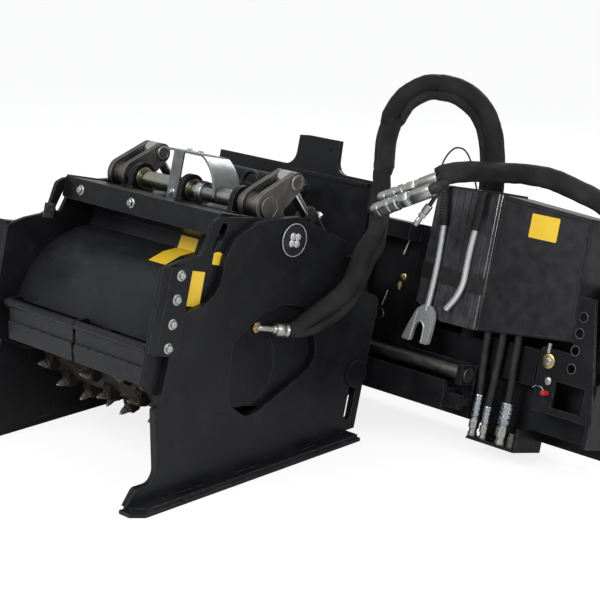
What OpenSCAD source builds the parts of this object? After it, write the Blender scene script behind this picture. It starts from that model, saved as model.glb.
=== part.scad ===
// Cold planer for a skid steer loader: a drum housing on two depth skids,
// hung on a side-shifting carriage in front of the loader's mounting frame.
// Origin: on the ground, under the middle of the machine. X runs to the near side, Y to the loader, Z up.
// The machine is drawn as it stands in the yard, leaned back on its skid shoes.
// "Leaned" places are (x, v, w): v runs back square to the mounting plates, w runs up along them.

/* [Drum] */
// Cutting radius, to the tips of the picks
cut_r = 240; // [225:1:245]
// Cutting width
drum_w = 610; // [560:5:612]
// Outer radius of the bare drum
drum_r = 188; // [170:1:195]
// Wall of the drum tube
drum_wall = 14; // [8:1:20]
// Number of picks
pick_n = 56; // [30:1:64]
// Room between the lowest pick and the ground
ground_gap = 56; // [40:1:80]

/* [Housing] */
// Room between each end of the drum and the side plate beside it
side_gap = 17; // [13:1:21]
// Thickness of the side plates
side_t = 12; // [8:1:13]
// Height that the side plates' outline is drawn to, above the drum axis
side_rise = 400; // [380:1:410]
// Thickness of the hood's sheet
hood_t = 8; // [5:1:10]
// Running room between the picks and the inside of the hood
hood_gap = 19; // [15:1:24]
// Height of the deck above the drum axis
deck_h = 390; // [384:1:393]

/* [Skids] */
// Travel of each depth skid
travel = 120; // [80:1:122]
// Thickness of the skid plates
skid_t = 20; // [14:1:20]
// Width of a shoe
shoe_w = 70; // [55:1:80]
// Thickness of one of a shoe's two layers
shoe_t = 10; // [6:1:12]
// Length of a shoe
shoe_l = 811; // [780:1:820]

/* [Lift linkage] */
// Radius of the cross shaft
shaft_r = 23.5; // [18:0.5:26]
// Thickness of the crank arms
arm_t = 16; // [12:1:18]
// Radius of the cranks' hub
hub_r = 44; // [38:1:45]
// Radius of the pin that carries the lift cylinder
lift_pin_r = 15; // [10:0.5:17]
// Radius of the pin that carries the skid
skid_pin_r = 12; // [8:0.5:13]
// Outer radius of the lift cylinder
lift_r = 30; // [22:1:31]

/* [Carriage] */
// Thickness of the carriage plate
plate_t = 16; // [10:1:18]
// Travel of the side shift
shift = 450; // [200:5:460]
// Radius of the tilt pin
tilt_pin_r = 25; // [18:0.5:32]
// Radius of the side shift rod
rod_r = 20; // [14:0.5:24]

/* [Mounting frame] */
// Width of the loader plate
mount_w = 1144; // [1080:4:1144]
// Height of the loader plate
mount_h = 455; // [430:5:470]
// Thickness of the loader plate
mount_t = 10; // [8:1:14]
// Depth of the tool box
box_d = 123; // [100:1:123]
// Radius of the tools' bars
tool_r = 9.5; // [7:0.5:10]

/* [Hoses] */
// Radius of the sleeved bundle to the drum motor
bundle_r = 39; // [30:1:40]
// Radius of the sleeved lead to the loader
lead_r = 30; // [22:1:32]

/* [Hidden] */
// Smoothness of round faces
$fn = 48;
// How far every cut runs past the face that it opens
over = 2;
// Radial clearance of a pin or shaft in its bore
fit = 0.05;
// Room between plates that slide past each other
slide = 1;
// Half of every other size that is drawn about a middle
half = 0.5;

// Lean of the machine, and where the leaned frame stands on the ground
lean_a = 15;
lean_y = 250;
// Middle plane of the drum
drum_x = -320;
// Distance of the drum axis in front of the carriage plate's face
drum_v = -500;
// Height of the drum axis along the lean, from its height over the ground
drum_z = cut_r + ground_gap;
drum_h = (drum_z + drum_v * sin(lean_a)) / cos(lean_a);

// Helpers
// Sizes in the leaned frame
module lean() translate([0, lean_y, 0]) rotate([-lean_a, 0, 0]) children();
// Sizes from the middle of the drum axis
module at_drum() lean() translate([drum_x, drum_v, drum_h]) children();
// A plate whose outline is given as (v, w), from x0 on, t thick
module slab(x0, t) translate([x0, 0, 0]) rotate([90, 0, 90]) linear_extrude(t) children();
// A plate whose outline is given as (x, w), from v0 on, t thick
module panel(v0, t) translate([0, v0 + t, 0]) rotate([90, 0, 0]) linear_extrude(t) children();
// A round bar along X, at (v, w), from x0 on
module bar_x(x0, l, r) translate([x0, 0, 0]) rotate([0, 90, 0]) cylinder(h = l, r = r);
// A round bar along the lean's v axis, from v0 on
module bar_v(v0, l, r) translate([0, v0, 0]) rotate([-90, 0, 0]) cylinder(h = l, r = r);
// A round bar between two points
module bar(a, b, r) {
    d = b - a;
    translate(a) rotate([0, acos(d.z / norm(d)), atan2(d.y, d.x)]) cylinder(h = norm(d), r = r);
}
// The other side of the machine, in sizes from the drum's middle
module other_side() mirror([1, 0, 0]) children();
// A block between two corners
module block(a, b) translate(a) cube(b - a);

// One corner of an outline, rounded with radius p[2], between its neighbours a and b
function arc_corner(a, p, b, n = 6) =
    let (c = [p.x, p.y], u = unit([a.x, a.y] - c), w = unit([b.x, b.y] - c),
        h = acos(u * w) / 2, m = c + unit(u + w) * p[2] / sin(h),
        s = c + u * p[2] / tan(h) - m, e = c + w * p[2] / tan(h) - m,
        a0 = atan2(s.y, s.x), turn = atan2(s.x * e.y - s.y * e.x, s * e))
    [for (i = [0 : n]) m + p[2] * [cos(a0 + turn * i / n), sin(a0 + turn * i / n)]];
function unit(a) = a / norm(a);
// An outline from points [x, y, radius] that are shares of one size
function outline(shares, size) =
    let (n = len(shares), p = shares * size)
    [for (i = [0 : n - 1]) each p[i][2] > 0
        ? arc_corner(p[(i + n - 1) % n], p[i], p[(i + 1) % n]) : [[p[i].x, p[i].y]]];
// Side of a sheet of thickness t that follows the points p
function beside(p, t) = [for (i = [0 : len(p) - 1])
    let (a = p[max(i - 1, 0)], b = p[i], c = p[min(i + 1, len(p) - 1)],
        d1 = i > 0 ? unit(b - a) : unit(c - b), d2 = i < len(p) - 1 ? unit(c - b) : d1,
        n = unit([-d1.y - d2.y, d1.x + d2.x]), k = n * [-d1.y, d1.x])
    b + n * t / k];
// A folded sheet along the points p, t thick on its left side
module folded(p, t) polygon(concat(p, [for (i = [len(p) - 1 : -1 : 0]) beside(p, t)[i]]));
// A link between two round ends
module link(a, ra, b, rb) {
    d = b - a;
    f = atan2(d.y, d.x);
    g = acos((ra - rb) / norm(d));
    translate(a) circle(ra);
    translate(b) circle(rb);
    polygon([a + ra * [cos(f + g), sin(f + g)], b + rb * [cos(f + g), sin(f + g)],
        b + rb * [cos(f - g), sin(f - g)], a + ra * [cos(f - g), sin(f - g)]]);
}

// Housing, in sizes from the drum's middle
side_shares = [[-0.845, -0.19, 0.03], [-0.845, 0.585, 0.03], [-0.8, 0.61, 0], [-0.705, 0.65, 0.12],
    [-0.53, 0.7, 0.08], [-0.49, 0.92, 0.05], [-0.43, 0.958, 0.05], [-0.08, 0.985, 0.1],
    [0.138, 1.008, 0.03], [0.15, 0.8, 0.03], [1.03, 0.8, 0.05], [1.138, 0.375, 0.1],
    [1.138, -0.175, 0.08], [0.75, -0.275, 0.1], [-0.5, -0.275, 0.05]];
// Ends of the lifting slot, and half its width
slot_hi_shares = [-0.385, 0.895];
slot_lo_shares = [-0.437, 0.745];
slot_half = 11;
// Radius of the hole that the motor's guard sits in
guard_r = 115;
// Place of the rear guide, from the drum axis
guide_p = [426, -5];
guide_r = 12.5;
// Outer face of the side plates
side_in = drum_w * half + side_gap;
side_out = side_in + side_t;
// Inner and outer face of the skid plates
skid_in = side_out + 2 * slide;
skid_out = skid_in + skid_t;
// Thickness of the caps and straps that hold the skids on
cap_t = 10;
cap_in = skid_out + slide;

module side_plate() color("#1d1e21") slab(side_in, side_t) difference() {
    polygon(outline(side_shares, side_rise));
    link(slot_hi_shares * side_rise, slot_half, slot_lo_shares * side_rise, slot_half);
}
module side_near() at_drum() difference() {
    side_plate();
    bar_x(side_in - over, side_t + 2 * over, guard_r + fit);
}
// Stub shaft of the drum, and the hole that its bearing sits in
stub_r = 32;
boss_bore_r = 47;
module side_far() at_drum() other_side() difference() {
    side_plate();
    bar_x(side_in - over, side_t + 2 * over, boss_bore_r + fit);
}

// Inner and outer radius of the hood round the drum
hood_in = cut_r + hood_gap;
hood_out = hood_in + hood_t;
// Where the hood's curve starts and ends, by angle from straight back
hood_a0 = 125;
hood_a1 = 173;
// Front sheet of the hood, down from the deck's front beam, as shares of the hood's radius
fold_shares = [[-0.44, 1.235], [-0.17, 1.14], [-0.2, 0.985], [-0.385, 0.93]];
module ring_sector(a0, a1, r0, r1) rotate([0, -90, 0]) rotate([0, 0, -90 + a0]) children();
module curved_sheet(a0, a1, r0, w) translate([-w * half, 0, 0]) rotate([90, 0, 90])
    rotate([0, 0, a0]) rotate_extrude(angle = a1 - a0) translate([r0, 0]) square([hood_t, w]);
module hood() at_drum() color("#232428") {
    w = 2 * side_in;
    curved_sheet(hood_a0, hood_a1, hood_in, w);
    end = hood_out * [cos(hood_a0), sin(hood_a0)];
    slab(-side_in, w) folded(concat([for (p = fold_shares) p * hood_out], [end]), hood_t);
}
module hood_back() at_drum() color("#1b1c1f") curved_sheet(-20, 98, hood_in, 2 * side_in);

// Deck over the drum, its front beam and the wall behind it
deck_t = 10;
deck_front = -166;
deck_mid = -42;
deck_back = 150;
deck_side = 230;
beam_h = 50;
beam_d = 46;
module deck() at_drum() color("#202124") {
    block([-side_in, deck_front, deck_h - deck_t], [side_in, deck_mid, deck_h]);
    block([-deck_side, deck_mid - over, deck_h - deck_t], [deck_side, deck_back, deck_h]);
    block([-side_in, deck_front, deck_h - deck_t - beam_h], [side_in, deck_front + hood_t, deck_h]);
    block([-side_in, deck_front, deck_h - deck_t - beam_h],
        [side_in, deck_front + beam_d, deck_h - deck_t - beam_h + hood_t]);
    wall_low = sqrt(hood_out * hood_out - (deck_back - deck_t) * (deck_back - deck_t));
    block([-deck_side, deck_back - deck_t, wall_low], [deck_side, deck_back, deck_h]);
    for (x = [-1, 0, 1]) slab(x * lug_x - lug_t * half, lug_t) difference() {
        union() {
            translate(shaft_p) circle(lug_r);
            translate([shaft_p.x - lug_r, deck_h - over]) square([2 * lug_r, shaft_p.y - deck_h + over]);
        }
        translate([shaft_p.x - 2 * lug_r, deck_h - over - 4 * lug_r]) square([4 * lug_r, 4 * lug_r]);
        translate(shaft_p) circle(shaft_r + fit);
    }
    slab(-hose_strap_w * half, hose_strap_w) polygon([[deck_back - 2 * deck_t, deck_h - over], [deck_back, deck_h - over],
        [hose_ring_p.x + deck_t * half, hose_ring_p.y - hose_ring_r], [hose_ring_p.x - deck_t * half, hose_ring_p.y - hose_ring_r]]);
    translate([0, hose_ring_p.x, hose_ring_p.y]) rotate([90, 0, 0])
        rotate_extrude() translate([hose_ring_r, 0]) circle(hose_wire);
}
// Cross shaft that the cranks turn on, from the drum axis
shaft_p = [12, 422];
lug_x = 209;
lug_t = 18;
lug_r = 42;
// Guide ring for the lift hoses, behind the deck
hose_ring_p = [233, 465];
hose_ring_r = 30;
hose_wire = 6;
hose_strap_w = 30;

// Rear plate with the tilt boss, the tilt arm and the cylinders' anchor ears
rear_v = 400;
rear_t = 12;
rear_lo = -60;
rear_hi = 318;
boss_h = 328;
boss_r = 50;
tilt_arm = 142;
tilt_eye_r = 30;
anchor_p = [340, 280];
anchor_r = 12;
ear_t = 12;
ear_r = 30;
lift_x = 276;
lift_eye_w = 36;
ear_x = lift_x - lift_eye_w * half - slide - ear_t;
module rear_plate() at_drum() color("#1b1c1f") {
    difference() {
        union() {
            panel(rear_v, rear_t) {
                translate([-side_in, rear_lo]) square([2 * side_in, rear_hi - rear_lo]);
                translate([0, boss_h + tilt_arm]) circle(tilt_eye_r);
                polygon([[-boss_r - rear_t, rear_hi - over], [boss_r + rear_t, rear_hi - over],
                    [tilt_eye_r - over, boss_h + tilt_arm], [over - tilt_eye_r, boss_h + tilt_arm]]);
            }
            translate([0, 0, boss_h]) bar_v(rear_v + over, -drum_v - rear_v - slide - over, boss_r);
        }
        translate([0, 0, boss_h]) bar_v(rear_v - 2 * boss_r, 4 * boss_r, tilt_pin_r + fit);
    }
    translate([0, 0, boss_h + tilt_arm]) bar_v(rear_v + over, -drum_v - rear_v - over + tilt_v + tilt_eye, skid_pin_r);
    for (s = [-1, 1], x = [ear_x, lift_x + lift_eye_w * half + slide])
        slab(s > 0 ? x : -x - ear_t, ear_t) {
            translate(anchor_p) circle(ear_r);
            translate([anchor_p.x, anchor_p.y - ear_r]) square([rear_v - anchor_p.x + over, 2 * ear_r]);
        }
    for (s = [-1, 1]) translate([0, anchor_p.x, anchor_p.y])
        bar_x(s * lift_x - lift_eye_w * half - slide - ear_t - over, lift_eye_w + 2 * (slide + ear_t + over), anchor_r);
}

// Straps and spacers that hold the skids' front edges
keeper_v = [-338, -268];
keeper_w = [19, 244];
spacer_d = 50;
module keeper() color("#2a2b2e") {
    block([side_out, keeper_v[0], keeper_w[0]], [cap_in, keeper_v[0] + spacer_d, keeper_w[1]]);
    block([cap_in, keeper_v[0], keeper_w[0]], [cap_in + cap_t, keeper_v[1], keeper_w[1]]);
}
module keepers() at_drum() {
    keeper();
    other_side() keeper();
}
// Rear guide blocks and their washers
washer_r = 40;
module guide_block() color("#3a3b3e") translate([0, guide_p.x, guide_p.y]) {
    bar_x(side_out, cap_in - side_out, guide_r);
    bar_x(cap_in, cap_t * half, washer_r);
}
module guide_blocks() at_drum() {
    guide_block();
    other_side() guide_block();
}

// Drum and its drive
web_x = 125;
web_t = 15;
bearing_r = 70;
module bearing() at_drum() other_side() color("#3c3f43") difference() {
    union() {
        bar_x(side_in - cap_t, cap_t, bearing_r);
        bar_x(side_in - cap_t, side_t + cap_t, boss_bore_r);
    }
    bar_x(side_in - cap_t - over, side_t + cap_t - over, stub_r + fit);
}
motor_r = 86;
module motor() at_drum() color("#26272a") {
    bar_x(web_x + web_t + slide * half, side_in - web_x - web_t, motor_r);
    bar_x(side_in, side_t, guard_r);
}
// Elbow and tube of the motor's port, from the drum axis
port_p = [side_out, 20, 105];
elbow_p = [342, 20, 105];
tube_end = [366, 112, 105];
tube_r = 14;
crimp_r = 19;
module motor_fitting() at_drum() color("#9a9c9a") difference() {
    union() {
        bar(port_p, elbow_p, tube_r + over);
        translate(elbow_p) sphere(tube_r + over);
        bar(elbow_p, tube_end, tube_r);
        bar(elbow_p + (tube_end - elbow_p) * 0.45, tube_end, crimp_r);
    }
    bar_x(side_in - side_t, 2 * side_t, 2 * guard_r);
}
module drum() at_drum() color("#2c2d2f") {
    l = drum_w;
    difference() {
        bar_x(-l * half, l, drum_r);
        bar_x(-l * half + web_t, l, drum_r - drum_wall);
    }
    bar_x(web_x, web_t, drum_r - drum_wall + slide);
    bar_x(-side_in - side_t * half, side_in + side_t * half - l * half + web_t, stub_r);
}
// Picks wind round the drum from both ends to the middle, three starts on each side
pick_starts = 3;
pick_wrap = 170;
// Width of a holder, and its corners before and behind the pick's seat
holder_w = 30;
holder_y = [-24, 22];
holder_z = [6, 17];
// Middle of the seat over the drum, and half its length
seat_at = [4, 24];
seat_half = 15;
// How far the picks lean the way they turn
pick_lean = 40;
pick_x = drum_w * half - holder_w * half;
module each_pick() for (i = [0 : pick_n - 1]) {
    side = i % 2 == 0 ? 1 : -1;
    k = floor(i / 2);
    s = k / ceil(pick_n / 2);
    rotate([side * (k % pick_starts * 360 / pick_starts - s * pick_wrap), 0, 0])
        translate([side * pick_x * (1 - s), 0, 0]) children();
}
seat_n = [sin(pick_lean), cos(pick_lean)];
seat_l = [cos(pick_lean), -sin(pick_lean)];
seat_p = [seat_at.x, drum_r + seat_at.y];
module pick_holders() at_drum() color("#37322d") each_pick() difference() {
    slab(-holder_w * half, holder_w) polygon([[holder_y[0], drum_r - over], [holder_y[1], drum_r - over],
        [holder_y[1], drum_r + holder_z[0]], seat_p + seat_half * seat_l, seat_p - seat_half * seat_l,
        [holder_y[0], drum_r + holder_z[1]]]);
    bar_x(-holder_w, 2 * holder_w, drum_r);
}
// A pick: shank collar and a cone to its carbide tip, long enough to reach the cutting radius
pick_r = 13;
tip_r = 4;
collar_share = 0.3;
pick_l = sqrt(cut_r * cut_r - (seat_p * seat_l) * (seat_p * seat_l)) - seat_p * seat_n;
module picks() at_drum() color("#8c7d68") each_pick() translate([0, seat_p.x, seat_p.y]) rotate([-pick_lean, 0, 0]) {
    cylinder(h = pick_l * collar_share, r = pick_r);
    translate([0, 0, pick_l * collar_share])
        cylinder(h = pick_l * (1 - collar_share), r1 = pick_r * 0.8, r2 = tip_r);
}

// Cross shaft, guard and front flap
collar_x = 45;
collar_w = 24;
module cross_shaft() at_drum() translate([0, shaft_p.x, shaft_p.y]) color("#8f9496") {
    bar_x(-side_in + over * 3, 2 * side_in - over * 6, shaft_r);
    bar_x(collar_x, collar_w, shaft_r + over * 3);
}
strap_t = 6;
guard_x = [-94, 58];
guard_v = [-19, 81];
guard_h = 523;
guard_strap = [-54, -14];
blade_r = 121;
blade_a = [3, 64];
module guard() at_drum() color("#a9acab") {
    block([guard_strap[0], guard_v[0] - strap_t, deck_h], [guard_strap[1], guard_v[0], guard_h - over]);
    block([guard_x[0], guard_v[0] - over, guard_h - strap_t], [guard_x[1], guard_v[1], guard_h]);
    difference() {
        translate([0, guard_v[0] + slide, guard_h - slide - (blade_r + strap_t) * sin(blade_a[1])]) rotate([-90, 0, 0])
            mirror([0, 1, 0]) rotate([0, 0, blade_a[0]]) rotate_extrude(angle = blade_a[1] - blade_a[0])
                translate([blade_r, 0]) square([strap_t, guard_v[1] - guard_v[0] - 2 * slide]);
        translate([0, shaft_p.x, shaft_p.y]) bar_x(0, 2 * blade_r, shaft_r + 2 * slide);
    }
}
// Hinge rod of the front flap, and its brackets on the hood's lower edge
flap_p = [-308, 23];
flap_rod_r = 8.5;
flap_lug_x = 296;
flap_lug_t = 10;
module flap_rod() at_drum() color("#2b2c2f") {
    translate([0, flap_p.x, flap_p.y]) bar_x(-side_in + slide, 2 * (side_in - slide), flap_rod_r);
    for (x = [-1, 0, 1]) slab(x * flap_lug_x - flap_lug_t * half, flap_lug_t)
        link(flap_p, flap_rod_r * 1.6, hood_out * [cos(hood_a1), sin(hood_a1)] - [flap_lug_t, 0], flap_lug_t);
}
flap_h = 100;
flap_t = 6;
knuckle_r = 12.5;
// Free width of one half of the flap, between the brackets
flap_w = flap_lug_x - flap_lug_t - 4 * slide;
module flap() at_drum() color("#2d2e31") translate([0, flap_p.x, flap_p.y]) rotate([lean_a, 0, 0])
    for (s = [0, 1]) mirror([s, 0, 0]) translate([flap_lug_t * half + 2 * slide, 0, 0]) {
        difference() {
            union() {
                bar_x(0, flap_w, knuckle_r);
                block([0, -flap_t, -flap_h * 0.56], [flap_w, 0, 0]);
            }
            bar_x(-over, flap_w + 2 * over, flap_rod_r + fit);
        }
        block([0, -flap_t * 2, -flap_h], [flap_w, -flap_t, -flap_h * 0.5]);
    }

// Skids
skid_shares = [[-0.84, -1.1, 0], [-0.84, -0.93, 0], [-0.79, -0.82, 0.04], [-0.67, -0.79, 0.07], [-0.64, -0.72, 0.1],
    [-0.755, -0.3, 0.02], [-0.71, -0.285, 0.02], [-0.71, 0.3, 0.06], [-0.49, 0.385, 0.07], [-0.38, 0.5, 0.15],
    [-0.375, 0.7, 0.12], [-0.32, 0.84, 0.12], [-0.12, 0.97, 0.2], [0.225, 1.03, 0.06], [0.745, 0.9, 0.05],
    [0.76, 0.63, 0.06], [1.168, 0.54, 0.06], [1.16, -0.43, 0], [1.14, -1.1, 0]];
cut_shares = [[-0.18, 0.14, 0.12], [0.04, 0.36, 0.15], [0.24, 0.435, 0.15], [0.49, 0.43, 0.13],
    [0.655, 0.06, 0.16], [0.17, -0.3, 0.12], [0.06, -0.34, 0.1], [-0.11, -0.26, 0.1]];
// Crank: where its two pins stand from the shaft, at rest
crank_r = 100;
crank_a = -47;
skid_p = shaft_p + crank_r * [cos(crank_a), sin(crank_a)];
lift_arm = 115.4;
lift_a = 40.7;
lift_p = shaft_p + lift_arm * [cos(lift_a), sin(lift_a)];
// Slot in the skid for the crank's pin, as its arc swings out
slot_r = skid_pin_r + 6;
slot_run = crank_r * (1 - cos(crank_a));
module skid() color("#1a1b1e") difference() {
    slab(skid_in, skid_t) difference() {
        polygon(outline(skid_shares, side_rise));
        polygon(outline(cut_shares, side_rise));
        link(skid_p - [over, 0], slot_r, skid_p + [slot_run - 2 * over, 0], slot_r);
        link(guide_p, guide_r + slide, guide_p - [0, travel + over], guide_r + slide);
    }
    ground_cut();
}
// Everything below the top of the shoes, seen from the drum's middle
module ground_cut() rotate([lean_a, 0, 0])
    translate([-2 * side_rise, -3 * side_rise, -drum_z - 2 * side_rise + 2 * shoe_t])
        cube([4 * side_rise, 6 * side_rise, 2 * side_rise]);
module skid_near() at_drum() skid();
module skid_far() at_drum() other_side() skid();
// Shoe: two layers, the lower one a little shorter, with a chamfered tip
shoe_front = -869;
shoe_tip = 30;
module shoe_layer(z, back, in) translate([drum_x + skid_in, lean_y + shoe_front + back, z])
    linear_extrude(shoe_t) polygon([[0, 0], [shoe_w - shoe_tip - in, 0], [shoe_w - in, shoe_tip],
        [shoe_w - in, shoe_l - back - in], [0, shoe_l - back - in]]);
module shoe_near() color("#191a1c") {
    shoe_layer(0, 0, 0);
    difference() {
        shoe_layer(shoe_t, shoe_tip * half, slot_half * half);
        for (y = [0.2, 0.45, 0.7]) translate([drum_x + skid_out + (shoe_w - skid_t) * half,
            lean_y + shoe_front + shoe_l * y, shoe_t])
            linear_extrude(2 * shoe_t) link([0, 0], slot_half * half, [0, shoe_l * 0.1], slot_half * half);
    }
}
module shoe_far() translate([2 * drum_x, 0, 0]) mirror([1, 0, 0]) shoe_near();

// Cranks and lift cylinders, near side; the far side is its mirror
arm_out = [side_in - arm_t - cap_t, side_in - cap_t];
arm_in = [arm_out[0] - 2 * arm_t - 24, arm_out[0] - arm_t - 24];
lobe_r = 28;
module crank() color("#55585a") {
    slab(arm_out[0], arm_t) difference() {
        union() {
            link(shaft_p, hub_r, lift_p, lobe_r);
            link(shaft_p, hub_r, skid_p, lobe_r);
        }
        translate(shaft_p) circle(shaft_r + fit);
        translate(lift_p) circle(lift_pin_r + fit);
    }
    slab(arm_in[0], arm_t) difference() {
        link(shaft_p, hub_r, lift_p, lobe_r);
        translate(shaft_p) circle(shaft_r + fit);
        translate(lift_p) circle(lift_pin_r + fit);
    }
    slab(arm_in[1] - over, arm_out[0] - arm_in[1] + 2 * over) difference() {
        translate(shaft_p) circle(shaft_r + over * 4);
        translate(shaft_p) circle(shaft_r + fit);
    }
    translate([0, skid_p.x, skid_p.y]) bar_x(arm_out[1] - over, cap_in - arm_out[1] + over, skid_pin_r);
}
module crank_pin() color("#b4b7b8") translate([0, lift_p.x, lift_p.y]) {
    bar_x(arm_in[0] - over, arm_out[1] - arm_in[0] + 2 * over, lift_pin_r);
}
cap_r = 45;
module crank_cap() color("#6a6e71") translate([0, skid_p.x, skid_p.y]) {
    bar_x(cap_in, cap_t * half, cap_r);
    for (a = [0 : 90 : 270]) rotate([a + 45, 0, 0])
        translate([0, cap_r * 0.35, 0]) bar_x(cap_in + cap_t * half, cap_t * half, cap_r * 0.16);
}
module crank_near() at_drum() crank();
module crank_far() at_drum() other_side() crank();
module crank_pin_near() at_drum() crank_pin();
module crank_pin_far() at_drum() other_side() crank_pin();
module crank_cap_near() at_drum() crank_cap();
module crank_cap_far() at_drum() other_side() crank_cap();

// The cylinder runs from the crank's pin to the anchor in the ears
lift_dir = unit(anchor_p - lift_p);
lift_l = norm(anchor_p - lift_p);
lift_rod_r = 14;
lift_stroke = 137;
open_r = 15;
module lift_rod() color("#c3c6c8") translate([lift_x, 0, 0]) {
    slab(-lift_eye_w * half, lift_eye_w) difference() {
        translate(lift_p) circle(lobe_r);
        translate(lift_p) circle(lift_pin_r + fit);
    }
    a = lift_p + lift_dir * (lobe_r - over);
    b = anchor_p - lift_dir * (ear_r + anchor_r);
    bar([0, a.x, a.y], [0, b.x, b.y], lift_rod_r);
}
module lift_barrel() color("#222326") translate([lift_x, 0, 0]) difference() {
    a = anchor_p - lift_dir * (lift_l - lobe_r - shaft_r - lift_stroke * half);
    union() {
        bar([0, a.x, a.y], [0, anchor_p.x, anchor_p.y], lift_r);
        slab(-lift_eye_w * half, lift_eye_w) translate(anchor_p) circle(anchor_r + open_r + cap_t);
    }
    b = anchor_p - lift_dir * (ear_r + anchor_r - 2 * over);
    c = a - lift_dir * over;
    bar([0, c.x, c.y], [0, b.x, b.y], lift_rod_r + fit);
    slab(-lift_r - over, 2 * lift_r + 2 * over) translate(anchor_p) circle(anchor_r + open_r);
    for (s = [0, 1]) mirror([s, 0, 0]) slab(lift_eye_w * half, lift_r)
        translate(anchor_p) circle(anchor_r + open_r + 2 * cap_t);
}
module lift_rod_near() at_drum() lift_rod();
module lift_rod_far() at_drum() other_side() lift_rod();
module lift_barrel_near() at_drum() lift_barrel();
module lift_barrel_far() at_drum() other_side() lift_barrel();

// Carriage, in leaned sizes
carriage_x = [-750, -100];
carriage_w = [212, 703];
tab_x = [-422, -253];
tab_h = 95;
tab_fillet = 40;
pivot_w = drum_h + boss_h;
tab_hole = [-281, 764];
tab_hole_r = 7;
module carriage() lean() color("#1c1d20") difference() {
    union() {
        panel(0, plate_t) polygon(concat(
            [[carriage_x[0], carriage_w[0]], [carriage_x[1], carriage_w[0]], [carriage_x[1], carriage_w[1]]],
            tab_foot(tab_x[1], 1), [[tab_x[1] - over * 2, carriage_w[1] + tab_h],
            [tab_x[0] + tab_fillet, carriage_w[1] + tab_h], [tab_x[0], carriage_w[1] + tab_h - over * 2]],
            tab_foot(tab_x[0], -1), [[carriage_x[0], carriage_w[1]]]));
        block([tab_x[0], -cap_t, carriage_w[1] - 2 * cap_t], [carriage_x[1] - side_t, 0, carriage_w[1] - cap_t]);
    }
    translate([tab_hole.x, 0, tab_hole.y]) bar_v(-over, plate_t + 2 * over, tab_hole_r);
    translate([drum_x, 0, pivot_w]) bar_v(-over, plate_t + 2 * over, tilt_pin_r + fit);
}
function tab_foot(x, s) = [for (i = [0 : 6]) let (a = s > 0 ? 90 * i / 6 : 90 - 90 * i / 6)
    [x + s * tab_fillet * (1 - sin(a)), carriage_w[1] + tab_fillet * (1 - cos(a))]];
// Lower bar of the carriage, which wraps the rail
bar_w = [128, 212];
bar_right = 300;
bar_hook = 22;
rail_head = [20, 40];
rail_web = [36, 16];
rail_w = 160;
rail_v = plate_t + 6;
lip = 12;
module slider() lean() color("#191a1d") {
    panel(0, plate_t) polygon([[carriage_x[0], bar_w[0]], [bar_right, bar_w[0] + over], [bar_right, bar_w[1] - bar_hook],
        [bar_right - bar_hook * half, bar_w[1] - over], [bar_right - bar_hook, bar_w[1]],
        [carriage_x[1], bar_w[1]], [carriage_x[1], carriage_w[0]], [carriage_x[0], carriage_w[0]]]);
    difference() {
        block([carriage_x[0], plate_t, rail_w - rail_head[1] * half - lip],
            [bar_right, rail_v + rail_head[0] + lip + slide, rail_w + rail_head[1] * half + lip]);
        block([carriage_x[0] - over, rail_v - slide, rail_w - rail_head[1] * half - slide * half],
            [bar_right + over, rail_v + rail_head[0] + slide, rail_w + rail_head[1] * half + slide * half]);
        block([carriage_x[0] - over, rail_v, rail_w - rail_web[1] * half - slide * half],
            [bar_right + over, rail_v + 4 * rail_head[0], rail_w + rail_web[1] * half + slide * half]);
    }
}
// Cylinder barrel that slides on the fixed rod
rod_w = 236;
rod_v = plate_t + 30;
barrel_r = 28;
barrel_x = [-380, -135];
module shift_barrel() lean() color("#24262a") difference() {
    union() {
        translate([0, rod_v, rod_w]) bar_x(barrel_x[0], barrel_x[1] - barrel_x[0], barrel_r);
        for (x = [barrel_x[0] + lip, barrel_x[1] - 3 * lip])
            block([x, plate_t, rod_w - barrel_r * 0.8], [x + 2 * lip, rod_v, rod_w + barrel_r * 0.8]);
    }
    translate([0, rod_v, rod_w]) bar_x(barrel_x[0] - over, barrel_x[1] - barrel_x[0] + 2 * over, rod_r + fit);
}
// Pin of the tilt pivot, with its cap
tilt_cap = [40, 12];
module tilt_pin() lean() translate([drum_x, 0, pivot_w]) color("#4a4d50") {
    bar_v(-2 * boss_r - over * 2, 2 * boss_r + over * 2 + plate_t, tilt_pin_r);
    bar_v(-2 * boss_r - over * 2 - tilt_cap[1], tilt_cap[1], tilt_cap[0]);
    bar_v(plate_t, tilt_cap[1] * half, tilt_cap[0]);
}
// Tilt cylinder across the top of the carriage
tilt_w = pivot_w + tilt_arm;
tilt_v = -72;
tilt_barrel_r = 25;
tilt_rod_r = 13;
tilt_barrel_x = [-640, -440];
module tilt_barrel() lean() color("#24262a") difference() {
    union() {
        translate([0, tilt_v, tilt_w]) bar_x(tilt_barrel_x[0], tilt_barrel_x[1] - tilt_barrel_x[0], tilt_barrel_r);
        for (x = [tilt_barrel_x[0], tilt_barrel_x[1] - 4 * lip])
            block([x, tilt_v, tilt_w - tilt_barrel_r * 0.8], [x + 3 * lip, 0, tilt_w + tilt_barrel_r * 0.8]);
    }
    translate([0, tilt_v, tilt_w]) bar_x(tilt_barrel_x[0] + lip, tilt_barrel_x[1] - tilt_barrel_x[0], tilt_rod_r + fit);
}
tilt_eye = 24;
module tilt_rod() lean() color("#c3c6c8") difference() {
    union() {
        translate([0, tilt_v, tilt_w])
            bar_x(tilt_barrel_x[0] + 6 * lip, drum_x - tilt_barrel_x[0] - 6 * lip - tilt_eye, tilt_rod_r);
        translate([drum_x, tilt_v - tilt_eye * half, tilt_w]) bar_v(0, tilt_eye, tilt_eye_r);
    }
    translate([drum_x, 0, tilt_w]) bar_v(tilt_v - tilt_eye, 2 * tilt_eye, skid_pin_r + over);
}

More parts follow.
